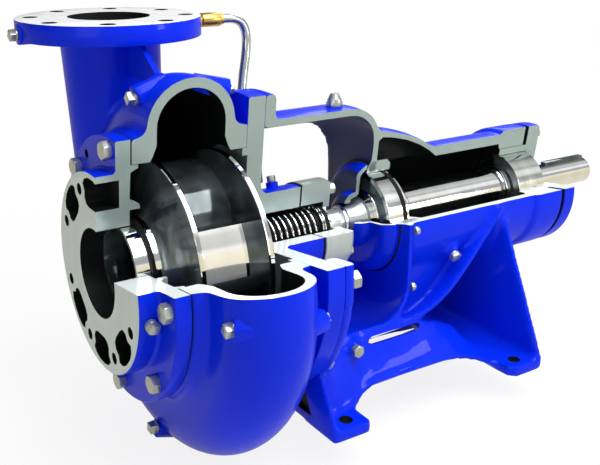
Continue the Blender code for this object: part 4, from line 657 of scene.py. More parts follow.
# height, radius, x and y of the circles through which the discharge neck is drawn
NECK_WALL = (
    (-30, 52, SCROLL_X, 193), (30, 56, SCROLL_X, 194), (110, 58.5, 111, 194), (200, 61.5, 109.5, 194),
    (225, 62.5, NECK_X, NECK_Y), (231, 64, NECK_X, NECK_Y), (236, 67, NECK_X, NECK_Y),
)
NECK_BORE = (
    (-10, 41.4, SCROLL_X, 198), (60, 43, SCROLL_X, 197), (150, 46, 110, 195), (262, 51, NECK_X, NECK_Y),
)


def scroll(name, outline, spans, growth):
    """An outline turned over each span, with its radius growing with the angle, as a scroll's does."""
    parts = []
    for start, end, steps, counted_back in spans:
        ob = turned(name, outline, start, end, steps)
        for v in ob.data.vertices:
            r = off_axis(v.co)
            if r > 156.5:
                phi = math.degrees(math.atan2(-v.co.y, v.co.z)) % 360.0
                phi -= 360.0 if counted_back and phi > 180.0 else 0.0
                k = (r + growth * phi) / r
                v.co.y *= k
                v.co.z *= k
        parts.append(ob)
    return parts


class PUMP_OT_casing(bpy.types.Operator):
    """Model the scroll casing with its discharge neck and plug bosses"""
    bl_idname = "pump.casing"
    bl_label = "Scroll casing"

    def execute(self, context):
        s = context.scene.pump_castings
        middle = s.scroll_start - CHANNEL
        outer = [(40.2, 90), (40.2, 151), (49, 151.3), (53, 152.6), (57, 155.6)]
        outer += arc(SCROLL_X, middle, CHANNEL, 180, 0, 20)
        outer += [(168, 155.6), (171, 152.6), (175, 151), (184.5, 151), (184.5, 90)]
        inner = [(55, 100), (55, 122.2), (63, 122.2), (66, 128), (70.5, 140)]
        inner += arc(SCROLL_X, middle, CHANNEL_BORE, 180, 0, 20)
        inner += [(154.5, 140), (159, 128), (162.5, 122.2), (172, 122.2), (172, 100)]
        skins = scroll("skin", outer, WALL_SPANS, s.scroll_growth) + [drawn_pipe("neck", NECK_WALL)]
        body = coat(joined("casing_body", skins), "paint")
        cast(body, s.casting_grain, 5)
        tools = scroll("hollow", inner, HOLLOW_SPANS, s.scroll_growth)
        tools.append(drawn_pipe("bore", NECK_BORE))
        tools.append(turned("throat", [(30, 0), (30, 122.2), (190, 122.2), (190, 0)]))
        # The hollows and bores cut with these tools take the near-black inside finish, partly painted shade
        tools = [coat(tool, "dark_inside_and_painted_shade") for tool in tools]
        tools.append(coat(block("top", (-60, 40, FLANGE_LOW), (260, 340, 300)), "paint"))
        tools.append(coat(block("front", (0, -300, -300), (41.7, 155, 200)), "faced"))
        tools.append(coat(block("rear", (183, -300, -300), (230, 155, 200)), "faced"))
        tools.append(cut_wedge(20, 210))
        carve(body, tools)
        rib = [(98, FLANGE_LOW), (55, 203), (55, 190), (150, 190), (150, FLANGE_LOW)]
        bits = [body, coat(prism("rib", rib, 105.5, 111.5, 0), "paint")]
        for deg, r, x0, x1, r1 in TAPS:
            boss = rod("tap_boss", at(x0, r, deg), at(x1, r1, deg), 14.0, 8, 10.0, 22.5)
            bits.append(soften(coat(boss, "paint"), 1.2, 2, 25.0))
        settle(joined("casing_body", bits), "casing", ["volute_casing"])
        return {"FINISHED"}


class PUMP_OT_discharge_flange(bpy.types.Operator):
    """Model the discharge flange with its bore, bolt holes and plug boss"""
    bl_idname = "pump.discharge_flange"
    bl_label = "Discharge flange"

    def execute(self, context):
        s = context.scene.pump_castings
        low, high = FLANGE_LOW - 12, FLANGE_TOP + 14
        plate = rod("discharge_flange", (NECK_X, NECK_Y, FLANGE_LOW), (NECK_X, NECK_Y, FLANGE_TOP),
                    s.flange_radius, 128)
        soften(plate, 0.9, 2)
        boss = soften(rod("boss", (-7.2, NECK_Y, 240), (40, NECK_Y, 240), 12.0, 24), 0.8, 2)
        carve(coat(plate, "paint"), [coat(boss, "paint")], "UNION")
        # The bore and bolt holes take the near-black inside finish: painted shade in them
        tools = [coat(rod("bore", (NECK_X, NECK_Y, low), (NECK_X, NECK_Y, high), 51.0, 96), "dark_inside_and_painted_shade")]
        for k in range(8):
            a = math.radians(22.5 + 45 * k)
            x, y = NECK_X + s.bolt_circle * math.cos(a), NECK_Y + s.bolt_circle * math.sin(a)
            tools.append(coat(rod("hole", (x, y, low), (x, y, high), 9.5, 32), "dark_inside_and_painted_shade"))
        tools.append(cut_wedge(-20, 240))
        carve(plate, tools)
        # The flange's machined top face takes the near-white copy of the faced finish: painted light from
        # above
        faces_where(plate, "faced_painted_light", lambda c, n: n.z > 0.9 and c.z > FLANGE_TOP - 0.5)
        settle(plate, "casing", ())
        return {"FINISHED"}


# radius and angle of each corner of a core pocket, from the middle of the pocket
POCKET = (
    (74, -7), (78, -13), (85, -14.5), (93, -12.5), (101, -14), (106, -10), (108, -4), (108, 4), (106, 10),
    (101, 14), (93, 12.5), (85, 14.5), (78, 13), (74, 7),
)


class PUMP_OT_cover(bpy.types.Operator):
    """Model the suction cover with its flange, core pockets and tapped holes"""
    bl_idname = "pump.cover"
    bl_label = "Suction cover"

    def execute(self, context):
        s = context.scene.pump_castings
        rim = s.flange_radius
        outline = [(0, 51), (0, rim - 0.8), (0.8, rim), (20, rim), (23, rim + 3), (23, 150), (24, 151),
                   (40, 151), (40, 121.5), (49, 121.5), (49, 117.5), (45, 116), (40, 113), (39, 83),
                   (44, 77), (51, 74), (51, 69.5), (39, 69.5), (39, 51)]
        ob = coat(sectioned("cover_body", outline, 114), "paint")
        faces_where(ob, "faced", lambda c, n: n.x < -0.9 and c.x < 1.0)
        # The cover's inside takes the near-black inside finish, partly painted shade
        faces_where(ob, "dark_inside_and_painted_shade", lambda c, n: off_axis(c) < 113 and 0.5 < c.x < 38.5)
        faces_where(ob, "faced", lambda c, n: c.x > 39.0)
        section_faces(ob)
        # Pockets, jack hole and tapped holes take the near-black inside finish: painted shade in them
        tools = []
        for middle in (0.0, 135.0, 180.0, 225.0, 315.0):
            points = [at(0, r, middle + a) for r, a in POCKET]
            tools.append(coat(prism("pocket", [(p.y, p.z) for p in points], -5, 27, 0), "dark_inside_and_painted_shade"))
        jack = rod("jack", at(10, COVER_BOLTS, 329.5), at(28, COVER_BOLTS, 329.5), 5.5, 24)
        tools.append(coat(jack, "dark_inside_and_painted_shade"))
        for k in (0, 2, 3, 4, 5, 6, 7):
            a = 22.5 + 45 * k
            hole = rod("tap", at(-5, s.bolt_circle, a), at(20, s.bolt_circle, a), 6.8, 24)
            tools.append(coat(hole, "dark_inside_and_painted_shade"))
        carve(ob, tools)
        section_faces(ob)
        settle(ob, "casing", ["suction_cover"])
        return {"FINISHED"}


# Plain turned parts

# name, whether it is sectioned, finish, body, solid replaced, outline
RINGS = (
    ("cover_seal", True, "rubber", "casing", "cover_gasket",
     ((40.3, 122.5), (40.3, 151), (41.4, 151), (41.4, 122.5))),
    ("eye_seal", True, "rubber", "casing", "eye_ring",
     ((39.4, 51), (39.4, 55), (43.6, 55), (43.6, 51))),
    ("gland_joint", True, "rubber", "casing", "gland_gasket",
     ((263.8, 33), (263.8, 60), (265.6, 60), (265.6, 33))),
    ("gland_body", True, "gland", "casing", "seal_gland",
     ((266, 32.5), (266, 60.2), (267, 61), (304, 61), (309, 57), (309, 25), (300, 25), (300, 32.5))),
    ("seat_ring", True, "rubber", "casing", "seal_seat",
     ((296.5, 23.5), (296.5, 31.8), (299.6, 31.8), (299.6, 23.5))),
    ("shaft_sleeve", False, "chrome", "rotor", "seal_sleeve",
     ((187, 20.5), (187, 21.5), (302, 21.5), (302, 20.5))),
    ("drive_ring_front", False, "chrome", "rotor", "seal_ring_1",
     ((284.4, 22.2), (284.4, 27.6), (284.8, 28), (285.8, 28), (286.2, 27.6), (286.2, 22.2))),
    ("drive_ring_rear", False, "chrome", "rotor", "seal_ring_2",
     ((288.0, 22.2), (288.0, 27.6), (288.4, 28), (289.4, 28), (289.8, 27.6), (289.8, 22.2))),
    ("face_ring", False, "rubber", "rotor", "seal_face",
     ((290.3, 22.2), (290.3, 27.1), (290.7, 27.5), (295.6, 27.5), (296, 27.1), (296, 22.2))),
    ("groove_ring", False, "chrome", "rotor", "slinger",
     ((326, 17.5), (326, 19), (326.6, 19.6), (328.2, 19.8), (329, 20.6), (330, 19.8), (331.4, 19.6),
      (332, 19), (332, 17.5))),
    ("front_race_outer", False, "steel", "casing", "front_bearing_outer",
     ((364.9, 36.6), (364.9, 53), (364, 53.6), (364, 59.3), (364.7, 60), (385.8, 60), (386.5, 59.3),
      (386.5, 53.6), (385.6, 53), (385.6, 36.6), (384.8, 36.6), (384.8, 50.9), (365.7, 50.9),
      (365.7, 36.6))),
    ("front_race_inner", False, "steel", "rotor", "front_bearing_inner",
     ((364, 27.7), (364, 35), (364.6, 35.6), (369.5, 36.6), (371.5, 37.4), (375.3, 37.7), (379, 37.4),
      (381, 36.6), (385.9, 35.6), (386.5, 35), (386.5, 27.7))),
    ("front_lip", False, "rubber", "casing", "front_bearing_band",
     ((386.9, 54.5), (386.9, 60), (392.6, 60), (392.6, 54.5))),
    ("front_snap_ring", False, "chrome", "casing", "front_bearing_ring",
     ((393.3, 54), (393.3, 59.4), (395.7, 59.4), (395.7, 54))),
    ("rear_race_outer", False, "steel", "casing", "rear_bearing_outer",
     ((605.9, 31.2), (605.9, 43), (605, 43.6), (605, 48.7), (605.8, 49.5), (654.2, 49.5), (655, 48.7),
      (655, 43.6), (654.1, 43), (654.1, 31.2), (653.3, 31.2), (653.3, 40.8), (606.7, 40.8),
      (606.7, 31.2))),
    ("rear_race_inner", False, "steel", "rotor", "rear_bearing_inner",
     ((605, 22.7), (605, 29.3), (605.6, 30), (614, 30.8), (622, 31.2), (630, 30.6), (638, 31.2),
      (646, 30.8), (654.4, 30), (655, 29.3), (655, 22.7))),
    ("rear_lip", False, "rubber", "casing", "rear_oil_seal",
     ((658.5, 19.3), (658.5, 32), (667, 32), (667, 19.3))),
)


class PUMP_OT_rings(bpy.types.Operator):
    """Model the plain turned rings: gaskets, races, lips and collars"""
    bl_idname = "pump.rings"
    bl_label = "Rings and gaskets"

    def execute(self, context):
        for name, cut, finish, body, solid, outline in RINGS:
            ob = coat(sectioned(name, outline) if cut else turned(name, outline), finish)
            if cut and finish != "rubber":
                section_faces(ob)
            if name.endswith("race_outer"):
                faces_where(ob, "shield", lambda c, n: abs(n.x) > 0.9 and off_axis(c) < 54.0)
                # The far face of the rear outer race that looks forward is made near black: painted shade
                faces_where(ob, "dark_inside_and_painted_shade", lambda c, n: n.x < -0.9 and c.x > 600.0 and c.y > 5.0)
            settle(ob, body, [solid])
        return {"FINISHED"}


# Rotor

def vane_outline(tip, reach):
    """One thick vane seen along the shaft, swept back from its tip."""
    left, right = [], []
    for i in range(29):
        u = i / 28.0
        r = 44.0 + (reach - 44.0) * u
        deg = tip + 105.0 * (1.0 - u ** 0.9)
        half = math.degrees((9.0 + 19.5 * u ** 3.0) / r)
        left.append(at(0, r, deg + half))
        right.append(at(0, r, deg - half))
    face = [at(0, reach, tip + half - 2.0 * half * i / 12.0) for i in range(1, 12)]
    return [(p.y, p.z) for p in left + face + right[::-1]]


class PUMP_OT_impeller(bpy.types.Operator):
    """Model the shrouded impeller with its thick curved vanes, and its nut"""
    bl_idname = "pump.impeller"
    bl_label = "Impeller"

    def execute(self, context):
        s = context.scene.pump_rotor
        rim = s.impeller_radius
        back = [(76, 0), (76, 17), (78, 20), (84, 26), (94, 30), (104, 33), (120, 36.5), (132, 40), (140, 45),
                (146, 52), (150, 60), (152.5, 70), (153, 90), (153, rim - 1), (154, rim), (158.5, rim),
                (159.5, rim - 1), (162, 100), (163, 60), (168, 46), (183.5, 36), (183.5, 20.7), (96.4, 20.7),
                (96.4, 13.7), (90, 13.7), (90, 0)]
        front = [(27, 46), (27, 49.6), (27.4, 50), (43.8, 50.2), (43.8, 54.4), (44.4, 55), (47.6, 55.1),
                 (54, 55.5), (58, 57.5), (61, 61), (63.6, 66), (66, 72), (68.6, 84), (69.6, 100),
                 (70, rim - 1), (70.8, rim), (75.2, rim), (76, rim - 1), (76, 100), (75.4, 88),
                 (73, 76), (69.8, 67), (66, 60.5), (62, 55), (57, 51), (48, 47)]
        wheel = coat(turned("impeller_wheel", back, steps=128), "smoked")
        bits = [coat(turned("shroud", front, steps=128), "smoked")]
        for k in range(s.vanes):
            outline = vane_outline(71.5 + 360.0 * k / s.vanes, rim - 2.0)
            bits.append(coat(prism("vane", outline, 71.5, 156.0, 0), "smoked"))
        for vane in bits[1:]:
            for x in (124.0, 128.0):
                edit(vane)
                bpy.ops.mesh.bisect(plane_co=(x, 0, 0), plane_no=(1, 0, 0))
                leave_edit()
            faces_where(vane, "polished", lambda c, n: c.x < 124.0 and off_axis(c) > rim - 3.2)
            faces_where(vane, "chrome", lambda c, n: 124.0 < c.x < 128.0 and off_axis(c) > rim - 3.2)
        carve(wheel, bits, "UNION")
        faces_where(wheel, "chrome", lambda c, n: off_axis(c) > (49.0 if c.x < 56 else rim - 0.9))
        faces_where(wheel, "rubber", lambda c, n: 43.7 < c.x < 47.6 and off_axis(c) > 50.1)
        settle(wheel, "rotor", ["impeller"])
        nut = coat(rod("impeller_cap_nut", (64, 0, 0), (75.6, 0, 0), 17.5, 6), "chrome")
        soften(nut, 1.2, 2)
        settle(nut, "rotor", ["impeller_nut"], 20)
        return {"FINISHED"}


class PUMP_OT_shaft(bpy.types.Operator):
    """Turn the stepped shaft, cut its keyway and fit the key"""
    bl_idname = "pump.shaft"
    bl_label = "Shaft and key"

    def execute(self, context):
        s = context.scene.pump_rotor
        r, end = s.shaft_radius, s.end_radius
        outline = [(91, 0), (91, 13), (97, 13), (97, 20), (186, 20), (300.6, 20), (301.6, 19.6),
                   (302.4, 17), (318, 17), (320, 17.6), (322, 17), (338, 17), (346, 18.4), (353, 20.8),
                   (357.6, 23.5), (358, 27.4), (394.4, 27.4), (395, 35.4), (395.6, 36), (400.8, 36),
                   (401.4, 35.4), (402, r), (420, r), (420.4, r - 0.5), (421.6, r - 0.5), (422, r),
                   (595.6, r), (596.4, 33.4), (597, 34), (603, 34), (603.6, 33.4), (604, 22.4),
                   (656.4, 22.4), (657, end), (700, end), (792 - 2.5, end), (792, end - 2.5), (792, 0)]
        ob = coat(turned("drive_shaft", outline, steps=128), "chrome")
        keyway = [block("keyway", (681, -5.1, end - 5), (786.4, 5.1, end + 5)),
                  rod("keyway", (681, 0, end - 5), (681, 0, end + 5), 5.1, 32)]
        carve(ob, [coat(tool, "steel") for tool in keyway])
        faces_where(ob, "satin", lambda c, n: 303.0 < c.x < 363.0)
        settle(ob, "rotor", ["shaft"])
        key = coat(block("coupling_key", (704, -4.7, end - 4.6), (786, 4.7, end + 4.5)), "smoked")
        soften(key, 0.8, 2)
        settle(key, "rotor", ["shaft_key"])
        return {"FINISHED"}


class PUMP_OT_seal(bpy.types.Operator):
    """Model the seal spring and the bellows under it"""
    bl_idname = "pump.seal"
    bl_label = "Seal spring and bellows"

    def execute(self, context):
        turns = context.scene.pump_rotor.spring_turns
        first, last = 214.2, 281.5
        ob = started("coil_spring", bpy.ops.mesh.primitive_circle_add, vertices=12, radius=1.4,
                     location=(first, 0, 26.2), rotation=(math.pi / 2, 0, 0))
        bpy.ops.object.transform_apply(location=True, rotation=True, scale=True)
        coil = ob.modifiers.new("coil", "SCREW")
        coil.axis = "X"
        coil.angle = math.radians(360)
        coil.iterations = turns
        coil.screw_offset = (last - first) / turns
        coil.steps = coil.render_steps = 40
        coil.merge_threshold = 0.0001
        edit(apply_all(ob))
        bpy.ops.mesh.fill_holes(sides=0)
        settle(coat(faced_outwards(), "chrome"), "rotor", ["seal_spring"], 60)
        outline = [(209, 21.9), (209, 27.6), (210.5, 27.6), (210.9, 23.2)]
        for k in range(14):
            x = 213.0 + 5.0 * k
            outline += [(x, 23.2), (x + 1.2, 22.6), (x + 3.8, 22.6)]
        outline += [(283.8, 23.2), (283.8, 21.9)]
        settle(coat(turned("seal_boot", outline), "rubber"), "rotor", ["seal_bellows"])
        return {"FINISHED"}


# name, x of each row, radius of the circle of balls, radius and number of the balls, body, solid replaced
BALL_SETS = (
    ("front_ball_set", (375.3,), 44.0, 6.1, 11, "front_balls", "front_bearing_cage"),
    ("rear_ball_set", (622.0, 638.0), 35.5, 4.1, 14, "rear_balls", "rear_bearing_cage"),
)


class PUMP_OT_bearings(bpy.types.Operator):
    """Model the balls and cages of both bearings"""
    bl_idname = "pump.bearings"
    bl_label = "Balls and cages"

    def execute(self, context):
        for name, rows, pitch, r, count, body, solid in BALL_SETS:
            first = coat(started("first_ball", bpy.ops.mesh.primitive_uv_sphere_add, segments=20,
                                 ring_count=12, radius=r, location=(0, 0, 0)), "chrome")
            balls = []
            for x in rows:
                for k in range(count):
                    ball = copied(first, "ball")
                    ball.data.transform(Matrix.Translation(at(x, pitch, 11.0 + 360.0 * k / count)))
                    balls.append(ball)
            bpy.data.objects.remove(first, do_unlink=True)
            x0, x1 = rows[0] - r * 0.7, rows[-1] + r * 0.7
            low, high = pitch - 0.8, pitch + 0.8
            cage = turned("cage", [(x0, low), (x0, high), (x1, high), (x1, low)])
            settle(joined(name, [coat(cage, "brass")] + balls), body, [solid])
        return {"FINISHED"}


# Fixed castings behind the casing

class PUMP_OT_back_plate(bpy.types.Operator):
    """Model the back plate with its seal chamber and nipple boss"""
    bl_idname = "pump.back_plate"
    bl_label = "Back plate"

    def execute(self, context):
        outline = [(178, 112.5), (178, 121.5), (183.5, 121.5), (183.5, 181.2), (184.3, 182), (205, 182),
                   (205.7, 181.2), (205.7, 72), (207, 66), (210, 61.5), (214, 59), (263.5, 59),
                   (263.5, 32), (200, 32), (196, 27), (185, 27), (185, 112.5)]
        ob = coat(sectioned("seal_housing", outline, 114), "paint")
        faces_where(ob, "section", lambda c, n: c.x < 183.2 or (n.x < -0.9 and off_axis(c) < 125))
        # The seal chamber bore takes the near-black inside finish, partly painted shade
        faces_where(ob, "dark_inside_and_painted_shade", lambda c, n: off_axis(c) < 33)
        section_faces(ob)
        boss = rod("nipple", at(NIPPLE_X, 50, NIPPLE_ANGLE), at(NIPPLE_X, 65, NIPPLE_ANGLE), 7.5, 32)
        carve(ob, [coat(boss, "paint")], "UNION")
        section_faces(ob)
        settle(ob, "casing", ["back_plate"])
        return {"FINISHED"}


class PUMP_OT_front_cover(bpy.types.Operator):
    """Model the cup that closes the front bearing"""
    bl_idname = "pump.front_cover"
    bl_label = "Front bearing cover"

    def execute(self, context):
        outline = [(334, 23), (334, 26.6), (335, 28), (338, 33), (343, 35.5), (350, 37), (350, 52),
                   (349, 57), (349.8, 61), (352, 64), (358, 69), (362, 71.6), (364.6, 72), (364.6, 66),
                   (361, 65), (357, 61), (355, 57), (355, 33), (350, 30), (343, 28), (343, 23)]
        ob = coat(sectioned("bearing_cup", outline), "paint")
        # The cup's inner faces are made near black, and its far faces that look forward are made darker blue:
        # painted shade
        faces_where(ob, "dark_inside_and_painted_shade", lambda c, n: n.x > 0.3 and 342 < c.x < 360)
        faces_where(ob, "painted_shade_blue", lambda c, n: n.x < -0.7 and c.z > -5.0 and c.y > -10.0)
        section_faces(ob)
        settle(ob, "casing", ["front_bearing_cover"])
        return {"FINISHED"}


class PUMP_OT_cartridge(bpy.types.Operator):
    """Model the rear bearing cartridge with its flange and bolt heads"""
    bl_idname = "pump.cartridge"
    bl_label = "Rear cartridge"

    def execute(self, context):
        outline = [(603, 50), (603, 58.7), (603.8, 59.5), (655, 59.5), (655, 86.2), (655.8, 87), (674, 87),
                   (678, 83), (678, 23), (668, 23), (668, 33), (666, 38), (657, 41), (657, 50)]
        ob = coat(sectioned("bearing_cartridge", outline), "paint")
        faces_where(ob, "steel", lambda c, n: off_axis(c) < 60 and c.x < 656)
        # The inner face that looks forward is made near black: painted shade
        faces_where(ob, "dark_inside_and_painted_shade", lambda c, n: n.x < -0.9 and 654.0 < c.x < 656.0)
        section_faces(ob)
        settle(ob, "casing", ["rear_cartridge"])
        for k, a in enumerate((0.0, 120.0, 180.0, 240.0, 300.0)):
            bolt = rod("cartridge_bolt_%d" % (k + 1), at(678.2, 72, a), at(685, 72, a), 7.5, 6, turn=k * 17.0)
            settle(soften(coat(bolt, "zinc"), 0.8, 2), "casing")
        return {"FINISHED"}


# the scoop under the barrel: x, height of its side edges, and how far its middle hangs below them
SCOOP = (
    (343, -119.2, 28.6), (361, -119.6, 28.6), (380, -119.8, 28.4), (399, -117, 26), (412, -113, 24),
    (424, -108, 21), (437, -100, 18), (449, -91, 15), (461, -80.5, 12), (473, -68, 9), (487, -52, 6),
    (500, -36, 3), (512, -22, 1), (523, -9, 0), (531, 3, 0),
)


def scoop_z(x, y):
    """Underside of the scoop, sagging between its two straight side edges."""
    for (x0, z0, s0), (x1, z1, s1) in zip(SCOOP, SCOOP[1:]):
        if x <= x1:
            break
    t = (x - x0) / (x1 - x0)
    return z0 + (z1 - z0) * t - (s0 + (s1 - s0) * t) * (1 - (y / 90.0) ** 2)


def filled_under(name, x0, x1, half, lift, top=-36.0):
    """A block that reaches from the barrel down to the scoop."""
    ob = block(name, (x0, -half, -100.0), (x1, half, top))
    edit(ob)
    bpy.ops.mesh.subdivide(number_cuts=15)
    ob = leave_edit()
    for v in ob.data.vertices:
        if v.co.z < top - 0.01:
            share = (top - v.co.z) / (top + 100.0)
            v.co.z = top + (scoop_z(v.co.x, v.co.y) + lift - top) * share
    return ob


def hump(name, stations, rho, sides=40):
    """The hood: a circle that hangs from its top line, pulled from station to station."""
    x, top = stations[0]
    disc(name, rho, sides, (x, 0, top - rho), (0, math.pi / 2, 0))
    for (x0, t0), (x1, t1) in zip(stations, stations[1:]):
        bpy.ops.mesh.extrude_region_move(TRANSFORM_OT_translate={"value": (x1 - x0, 0, t1 - t0)})
    return faced_outwards()


# the skirt between the feet: x, then half width and height of its outer edge, half width and height of
# its inner edge, and its height in the middle
SKIRT = (
    (210.0, 133, -190, 119, -134, -186), (233.0, 132, -190, 115, -131, -183.5),
    (250.0, 131, -190, 105, -123, -166), (258, 130, -188, 102, -122, -159),
    (265.0, 127, -186, 100, -122, -154.5), (273, 123, -181, 97, -122, -152),
    (282.0, 118, -177, 94, -123, -150.6), (300.0, 115, -172, 90, -122.5, -150.3),
    (350, 114, -171, 89, -122.5, -150.3), (400.0, 115, -171, 86, -126, -150.3),
    (420, 116, -171, 84, -131, -151), (440.0, 118, -172, 80, -140, -153),
    (453, 120, -175, 75, -147, -157), (466.0, 124, -178, 70, -154, -162),
    (482.0, 134, -184, 60, -168, -173), (494.0, 146, -190, 50, -178, -180),
    (508.0, 150, -190, 40, -184, -184.5), (541.0, 150, -190, 40, -184.5, -185),
)


# outline of the slot in the near and far side of the skirt, in x and z
SKIRT_SLOT = (
    (306, -127), (308, -123.5), (313, -121.5), (384, -121.5), (389, -123.5), (391, -127), (389, -130.5),
    (384, -132.5), (313, -132.5), (308, -130.5),
)
FOOT_HOLES = (235.5, 511.5)


def yoke():
    """The bell between the front ring and the barrel, cut back to its two side arms."""
    bell = [(212, 151), (332, 151), (340, 150), (347, 148), (354, 144.8), (361, 140), (366, 135.5),
            (370, 130), (378, 117), (378, 76), (371, 76), (371, 103), (369, 116), (366, 122.5), (362, 128),
            (353, 136), (343, 141), (333, 142.5), (212, 142.5)]
    arm = [(200, 150), (217, 150), (222, 128), (227, 115), (233, 106), (241, 99.5), (252, 94.5), (266, 91),
           (280, 90), (400, 90)]
    keep = prism("keep", arm + [(x, -y) for x, y in reversed(arm)], -200, 200, 2)
    return carve(turned("yoke", bell), [keep], "INTERSECT")


def front_plate():
    """The upright plate over the front feet, open round the back plate."""
    outline = [(-166, -200), (166, -200), (166, -185), (133, -125), (-133, -125), (-166, -185)]
    opening = turned("opening", [(190, 0), (190, 165), (230, 165), (230, 0)])
    return carve(prism("plate", outline, 205.6, 214.2, 0), [opening])


def window(side):
    """The blind recess in one half of the front plate."""
    angles = [math.radians(a) for a in (58, 62, 66, 70, 74, 77)]
    curve = [(side * 187.5 * math.cos(a), -187.5 * math.sin(a)) for a in angles]
    outline = [(side * 118, -186.5), (side * 104, -157)] + curve + [(side * 36, -186.5)]
    return prism("window", outline, 190, 211.0, 0)


def scoop():
    rows = []
    for x, _, _ in SCOOP:
        rows.append([(x, y, scoop_z(x, y) + 4.0) for y in (-90.0 + 10.0 * k for k in range(19))])
    return plated("scoop", rows, 8.0)


def skirt():
    rows = []
    for x, yo, zo, yi, zi, zc in SKIRT:
        half = [(yi * t, zi + (zc - zi) * (1 - t * t)) for t in (0.0, 0.2, 0.4, 0.6, 0.8, 1.0)]
        for t in (0.12, 0.25, 0.4, 0.55, 0.7, 0.85, 1.0):
            half.append((yi + (yo - yi) * t, zi + (zo - zi) * (1 - (1 - t) ** 1.6)))
        rows.append([(x, -y, z - 4.0) for y, z in reversed(half[1:])] + [(x, y, z - 4.0) for y, z in half])
    return plated("skirt", rows, 8.0)


def foot_pads():
    """Two front pads with a rounded inner edge and two rear pads with one slanted corner."""
    front = [(206.2, 104), (255.2, 112), (259.2, 118), (261.2, 130), (261.2, 161), (256.2, 166), (206.2, 166)]
    rear = [(490.5, 104), (490.5, 157), (499.5, 166), (545.5, 166), (545.5, 104)]
    pads = []
    for outline in (front, rear):
        for side in (-1, 1):
            pads.append(prism("pad", [(x, side * y) for x, y in outline], -201.5, -186, 2))
    return pads


class PUMP_OT_bearing_frame(bpy.types.Operator):
    """Model the cast bearing frame: yoke, barrel, hood, scoop, skirt and feet"""
    bl_idname = "pump.bearing_frame"
    bl_label = "Bearing frame"

    def execute(self, context):
        grain = context.scene.pump_castings.casting_grain
        rear = [(-166, -200), (166, -200), (166, -185), (80, 0), (-80, 0), (-166, -185)]
        barrel = [(365, 0), (365, 70), (370, 74), (373, 82), (598, 82), (603, 83.2), (608, 85.4), (612, 86),
                  (649.2, 86), (649.2, 0)]
        hood = ((374, 119), (385, 117.4), (397, 115), (415, 110), (430, 105), (448, 97), (466, 87), (484, 79))
        bore = [(355, 0), (355, 60.5), (396.4, 60.5), (396.4, 53), (404, 53), (408, 68), (598, 68), (601, 60),
                (660, 60), (660, 0)]
        hollow = ((379, 105), (385, 109.5), (395, 108), (405, 106), (426, 100), (449, 90), (467, 79),
                  (484, 66))
        # The window recesses are blind and near black inside: painted shade in place of an opening
        windows = [coat(window(side), "dark_inside_and_painted_shade") for side in (-1, 1)]
        parts = [yoke(), turned("ring", [(205.2, 142.5), (205.2, 182), (220, 182), (220, 142.5)]),
                 front_plate(), prism("plate", rear, 537.5, 545.5, 0), turned("barrel", barrel),
                 hump("hood", hood, 44), scoop(), filled_under("sump", 372, 494, 60.0, 5.0), skirt()]
        parts += foot_pads()
        parts.append(rod("drain", at(DRAIN_X, 76, DRAIN_ANGLE), at(DRAIN_X, 90, DRAIN_ANGLE), 10, 24))
        parts.append(rod("lug", (LUG_X, -78, LUG_Z), (LUG_X, -104, LUG_Z), 10.5, 24))
        body = coat(joined("frame_body", parts), "paint")
        cast(body, grain, 4)
        # The bore, hood hollow, sump hollow, rear face and foot holes take the near-black inside finish,
        # partly painted shade
        tools = [coat(turned("bore", bore), "dark_inside_and_painted_shade"),
                 coat(hump("hollow", hollow, 34), "dark_inside_and_painted_shade"),
                 coat(filled_under("hollow", 381, 466, 50.0, 15.0), "dark_inside_and_painted_shade"),
                 coat(block("face", (190, -200, -210), (206.2, 200, 200)), "paint"),
                 coat(block("face", (648, -200, -210), (680, 200, 200)), "dark_inside_and_painted_shade"),
                 coat(block("feet", (150, -200, -230), (600, 200, -200)), "faced")] + windows
        for x in FOOT_HOLES:
            for y in (-147, 147):
                tools.append(coat(rod("hole", (x, y, -210), (x, y, -181), 8.4, 32), "dark_inside_and_painted_shade"))
        for side in (-1, 1):
            outline = [Vector((x - 23.0, side * 130.0, z + 13.5)) for x, z in SKIRT_SLOT]
            tools.append(coat(pulled("slot", outline, (71.4, -side * 110.0, -42.3)), "paint"))
        tools.append(cut_wedge(190, 660))
        carve(body, tools)
        # Paint on the faces inside the yoke that look towards the shaft or forward turns darker blue: painted
        # shade
        paint, shade = finish_slot(body, "paint"), finish_slot(body, "painted_shade_blue")
        for p in body.data.polygons:
            c, n = p.center, p.normal
            r = off_axis(c)
            inside = 221.0 < c.x < 373.0 and r < 146.0 and c.y > -22.0 and c.z > 0.0
            faces_in = n.y * c.y + n.z * c.z < -0.25 * r or n.x < -0.3
            if p.material_index == paint and inside and faces_in:
                p.material_index = shade
        seat = sectioned(
            "seat", [(368, 60.8), (368, 74), (371, 76), (396, 76), (402, 70), (402, 61.5), (397, 60.8)], 96)
        collar = sectioned(
            "collar", [(598, 82), (601, 84.5), (604, 86.6), (608, 87.4), (647.8, 87.4), (647.8, 84.5),
                       (606, 84.5)], 96)
        section_faces(coat(seat, "dark_inside_and_painted_shade"))
        section_faces(coat(collar, "paint"))
        settle(joined("frame_body", [body, seat, collar]), "casing", ["bearing_frame"])
        return {"FINISHED"}


# Bolts, plugs and the flush line

def hex_head(name, across, height, shank=0.0, reach=0.0):
    """A hexagon head that stands on the Z axis with its seat at zero, over a washer face and a shank."""
    k = across / math.sqrt(3)
    head = rod(name, (0, 0, 1.0), (0, 0, height), k, 6)
    soften(head, 0.45, 2, 50)
    cone = rod("cone", (0, 0, -3.0), (0, 0, height + 0.01), k * (0.88 + 0.1 * (height + 3.0)), 48, k * 0.88)
    carve(head, [cone], "INTERSECT")
    bits = [head, rod("washer", (0, 0, 0), (0, 0, 1.4), across * 0.49, 32)]
    if shank:
        bits.append(rod("shank", (0, 0, 0.5), (0, 0, -reach), shank, 24))
    return coat(joined(name, bits), "zinc")


